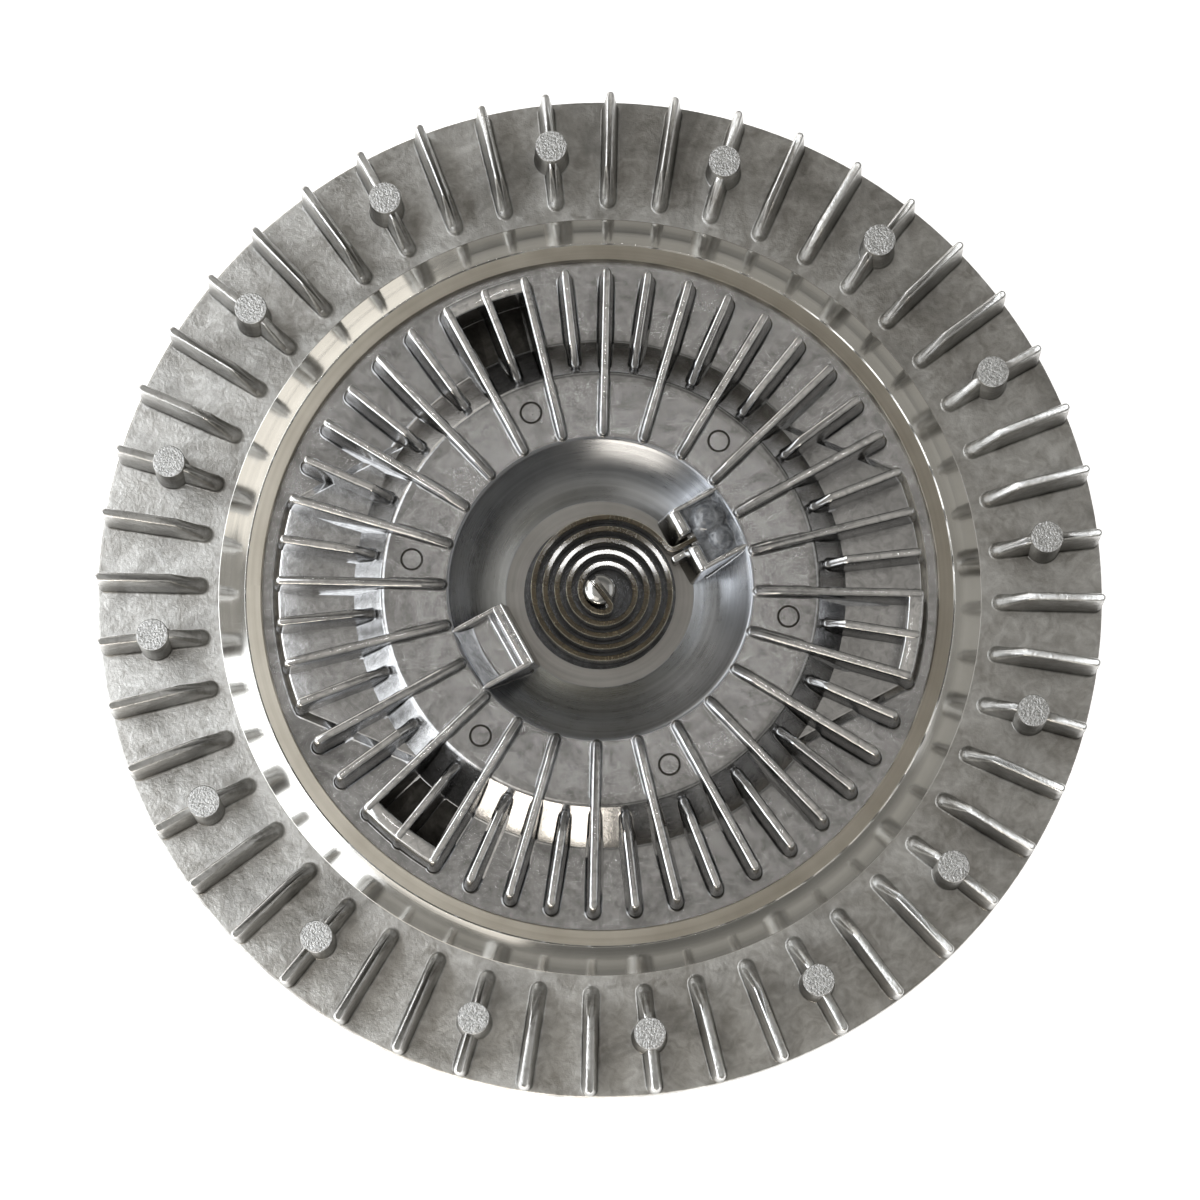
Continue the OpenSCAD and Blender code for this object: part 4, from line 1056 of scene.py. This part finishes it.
def build_coil():
    """The bimetal coil, built as one fixed mesh."""
    line, winding = coil_line()
    normal = left_normals(np.gradient(line, axis=0))
    half, edge = STRIP_T / 2, 0.14
    low, high = COIL_LOW_Z, COIL_HIGH_Z
    # The third value of each corner is painted highlight: strongest on one top edge, fainter on the other top edge
    # and the lower edges.
    section = [(-half, low + edge, 0.1), (-half, high - edge, 1.0), (-half + edge, high, 1.0),
               (-half + 1.5 * edge, high, 0.0), (half - edge, high, 0.0), (half, high - edge, 0.2),
               (half, low + edge, 0.1), (half - edge, low, 0.5), (-half + edge, low, 0.5)]
    levels = []
    for place, side in zip(line, normal):
        levels.append(np.array([[*(place + side * across), z] for across, z, _ in section]))
    shells = Shells()
    shells.loft(levels, 0, np.tile([wear for _, _, wear in section], len(line)))
    coil = shells.piece("coil_strip", [BIMETAL])
    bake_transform(coil)
    return coil


# Shafts

def build_pin():
    """The valve's shaft with its domed end, the strip's slot, the seal's groove and the riveted head."""
    head_r, tenon_r, groove_r, groove_half = 3.2, 2.2, 1.9, 0.9
    dome_h, edge, slot_half = 1.3, 0.2, STRIP_T / 2 + 0.3
    dome = [(VALVE_R * math.sin(a), PIN_TOP_Z - dome_h * (1 - math.cos(a)))
            for a in np.radians(np.linspace(90, 4, 14))]
    outline = [(AXIS_R, PIN_LOW_Z), (head_r - edge, PIN_LOW_Z), (head_r, PIN_LOW_Z + edge), (head_r, ARM_LOW_Z),
               (tenon_r, ARM_LOW_Z), (tenon_r, ARM_TOP_Z), (VALVE_R, ARM_TOP_Z), (VALVE_R, PIN_SEAL_Z - groove_half),
               (groove_r, PIN_SEAL_Z - groove_half), (groove_r, PIN_SEAL_Z + groove_half),
               (VALVE_R, PIN_SEAL_Z + groove_half), *dome, (AXIS_R, PIN_TOP_Z)]
    body, tool = Shells(), Shells()
    body.revolve(outline, 96)
    block(tool, anchor_place(SLOT_A), (-6, 6), (-slot_half, slot_half), COIL_LOW_Z - 0.3, PIN_TOP_Z + 3,
          draft=0, edge=0.1)
    return body.cut(tool, [BRIGHT_STEEL]).piece("valve_pin", [BRIGHT_STEEL])


def build_shaft():
    """The drive shaft with its hexagon and the thread in its bore."""
    pitch = 1.5
    low, high = 1.2, THREAD_DEPTH - 1.5
    corner_r = HEX_R / math.cos(math.radians(30))
    tip = THREAD_BORE_R * math.tan(math.radians(30))
    thread = threaded(THREAD_BORE_R, 0.8, pitch, low, high)

    def radius_of(r, z, turn):
        flat = HEX_R / np.cos(np.mod(turn, math.pi / 3) - math.pi / 6)
        return np.where((r > HEX_R + 0.1) & (z < HEX_H - 0.3), np.minimum(r, flat), thread(r, z, turn))
    rows = [(THREAD_BORE_R, z) for z in thread_rows(low, high, pitch)]
    outline = [(AXIS_R, THREAD_DEPTH + tip), (THREAD_BORE_R, THREAD_DEPTH), *rows, (THREAD_BORE_R + 1, 0), (HEX_R, 0),
               (corner_r, 1.2), (corner_r, HEX_H - 1.2), (COLLAR_R, HEX_H - 0.26), (COLLAR_R, BEARING_LOW_Z),
               (JOURNAL_R, BEARING_LOW_Z), (JOURNAL_R, BEARING_TOP_Z), (ROTOR_SEAT_R, BEARING_TOP_Z),
               (ROTOR_SEAT_R, SHAFT_TOP_Z - 0.4), (ROTOR_SEAT_R - 0.4, SHAFT_TOP_Z), (AXIS_R, SHAFT_TOP_Z)]
    shells = Shells()
    shells.revolve(outline, 180, radius_of=radius_of)
    return shells.piece("threaded_shaft", [STEEL], 25.0)


# Stage

def aimed(name, data, target, back, distance):
    """A lamp or camera that looks at a target from a distance, in the direction back."""
    obj = linked(name, data)
    obj.location = target + back * distance
    obj.rotation_mode = "QUATERNION"
    obj.rotation_quaternion = (-back).to_track_quat("-Z", "Y")
    return obj


def light(name, azimuth, elevation, distance, size, brightness, colour=(1.0, 1.0, 1.0)):
    """A soft box that faces the middle of the part from a direction, in degrees. size is its width and height."""
    middle = Vector((0.0, 0.0, 0.055))
    a, e = math.radians(azimuth), math.radians(elevation)
    back = Vector((math.cos(a) * math.cos(e), math.sin(a) * math.cos(e), math.sin(e)))
    lamp = bpy.data.lights.new(name, "AREA")
    lamp.shape, lamp.size, lamp.size_y, lamp.color = "RECTANGLE", size[0], size[1], colour
    lamp.energy = brightness * math.pi * size[0] * size[1]
    aimed(name, lamp, middle, back, distance)


def pale_floor():
    """A plain pale floor that glows near the part and fades further out."""
    mesh = bpy.data.meshes.new("floor")
    half = 3.0
    mesh.from_pydata([(-half, -half, 0), (half, -half, 0), (half, half, 0), (-half, half, 0)], [], [(0, 1, 2, 3)])
    floor = linked("floor", mesh)
    material, shader, place = start_material("pale_floor", 0.0)
    shader.inputs["Base Color"].default_value = (0.9, 0.9, 0.9, 1.0)
    shader.inputs["Roughness"].default_value = 0.9
    shader.inputs["Emission Color"].default_value = (1.0, 1.0, 1.0, 1.0)
    near_r, far_r, near_glow, far_glow = 0.25, 0.9, 0.88, 0.25
    glow = spread(axis_coordinates(place)[0], near_r, far_r, near_glow, far_glow)
    material.node_tree.links.new(glow, shader.inputs["Emission Strength"])
    mesh.materials.append(material)


def sky():
    """A dark horizon, a paler band above it, and a warm grey patch overhead."""
    world = bpy.data.worlds.new("sky")
    world.use_nodes = True
    tree = world.node_tree
    direction = add(tree, "ShaderNodeTexCoord").outputs["Generated"]
    up = add(tree, "ShaderNodeSeparateXYZ", {0: direction}).outputs[2]
    colour = mixed(spread(up, 0.28, 0.44), (0.03, 0.03, 0.03), (0.32, 0.31, 0.285))
    colour = mixed(spread(up, 0.55, 0.7), colour, (0.13, 0.128, 0.12))
    colour = mixed(spread(up, 0.82, 0.96), colour, (0.36, 0.345, 0.32))
    tree.links.new(colour, tree.nodes["Background"].inputs["Color"])
    bpy.context.scene.world = world


def studio():
    """Pale floor, sky and soft boxes."""
    pale_floor()
    sky()
    cool, warm = (0.94, 0.97, 1.0), (1.0, 0.95, 0.87)
    light("low_left", 195, 8, 0.6, (0.6, 0.21), 3.0, cool)
    light("low_front", 256, 3, 0.75, (0.42, 0.18), 7.0, (1.0, 0.92, 0.80))
    light("low_back", 132, 8, 0.75, (0.5, 0.26), 1.0, warm)
    light("middle_left", 205, 29, 0.5, (0.36, 0.17), 1.6, cool)
    light("middle_back", 140, 29, 0.75, (0.6, 0.26), 0.7, warm)
    light("high_left", 180, 51, 0.5, (0.57, 0.21), 2.4, cool)
    light("high_front", 240, 51, 0.75, (0.35, 0.32), 0.9, warm)
    light("high_right", 5, 47, 0.75, (0.5, 0.25), 0.45)
    light("lamp_tube", 90, 81.7, 1.31, (0.05, 0.009), 30.0)


def photo_camera():
    """Camera at the photograph's place: nearly straight above, leaning a little towards the front."""
    lean, turn, distance = 82.35, 1.2, 1.39
    shown = 262.8 * MM
    below = 1.18 * MM
    e, a = math.radians(lean), math.radians(turn)
    back = Vector((math.sin(a) * math.cos(e), -math.cos(a) * math.cos(e), math.sin(e)))
    upward = Vector((-math.sin(a) * math.sin(e), math.cos(a) * math.sin(e), math.cos(e)))
    data = bpy.data.cameras.new("camera")
    data.sensor_width = 36.0
    data.lens = data.sensor_width * distance / shown
    aim = Vector((0, 0, RIM_Z * MM)) - upward * below
    bpy.context.scene.camera = aimed("camera", data, aim, back, distance)


finish_nodes()
for piece, body, node, slot in (
        (build_housing(), "housing", "housing_body", "cast_housing"),
        (build_cover(), "housing", "front_cover", "cast_cover"),
        (build_sealant(), "housing", "anchor_sealant", "sealant"),
        (build_shaft(), "drive", "drive_shaft", "steel"),
        (build_pin(), "valve", "valve_shaft", "bright_steel"),
        (build_coil(), None, "bimetal_coil", "bimetal")):
    if body:
        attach(piece, body)
    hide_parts(node)
studio()
photo_camera()
bpy.context.scene.view_settings.view_transform = "Standard"
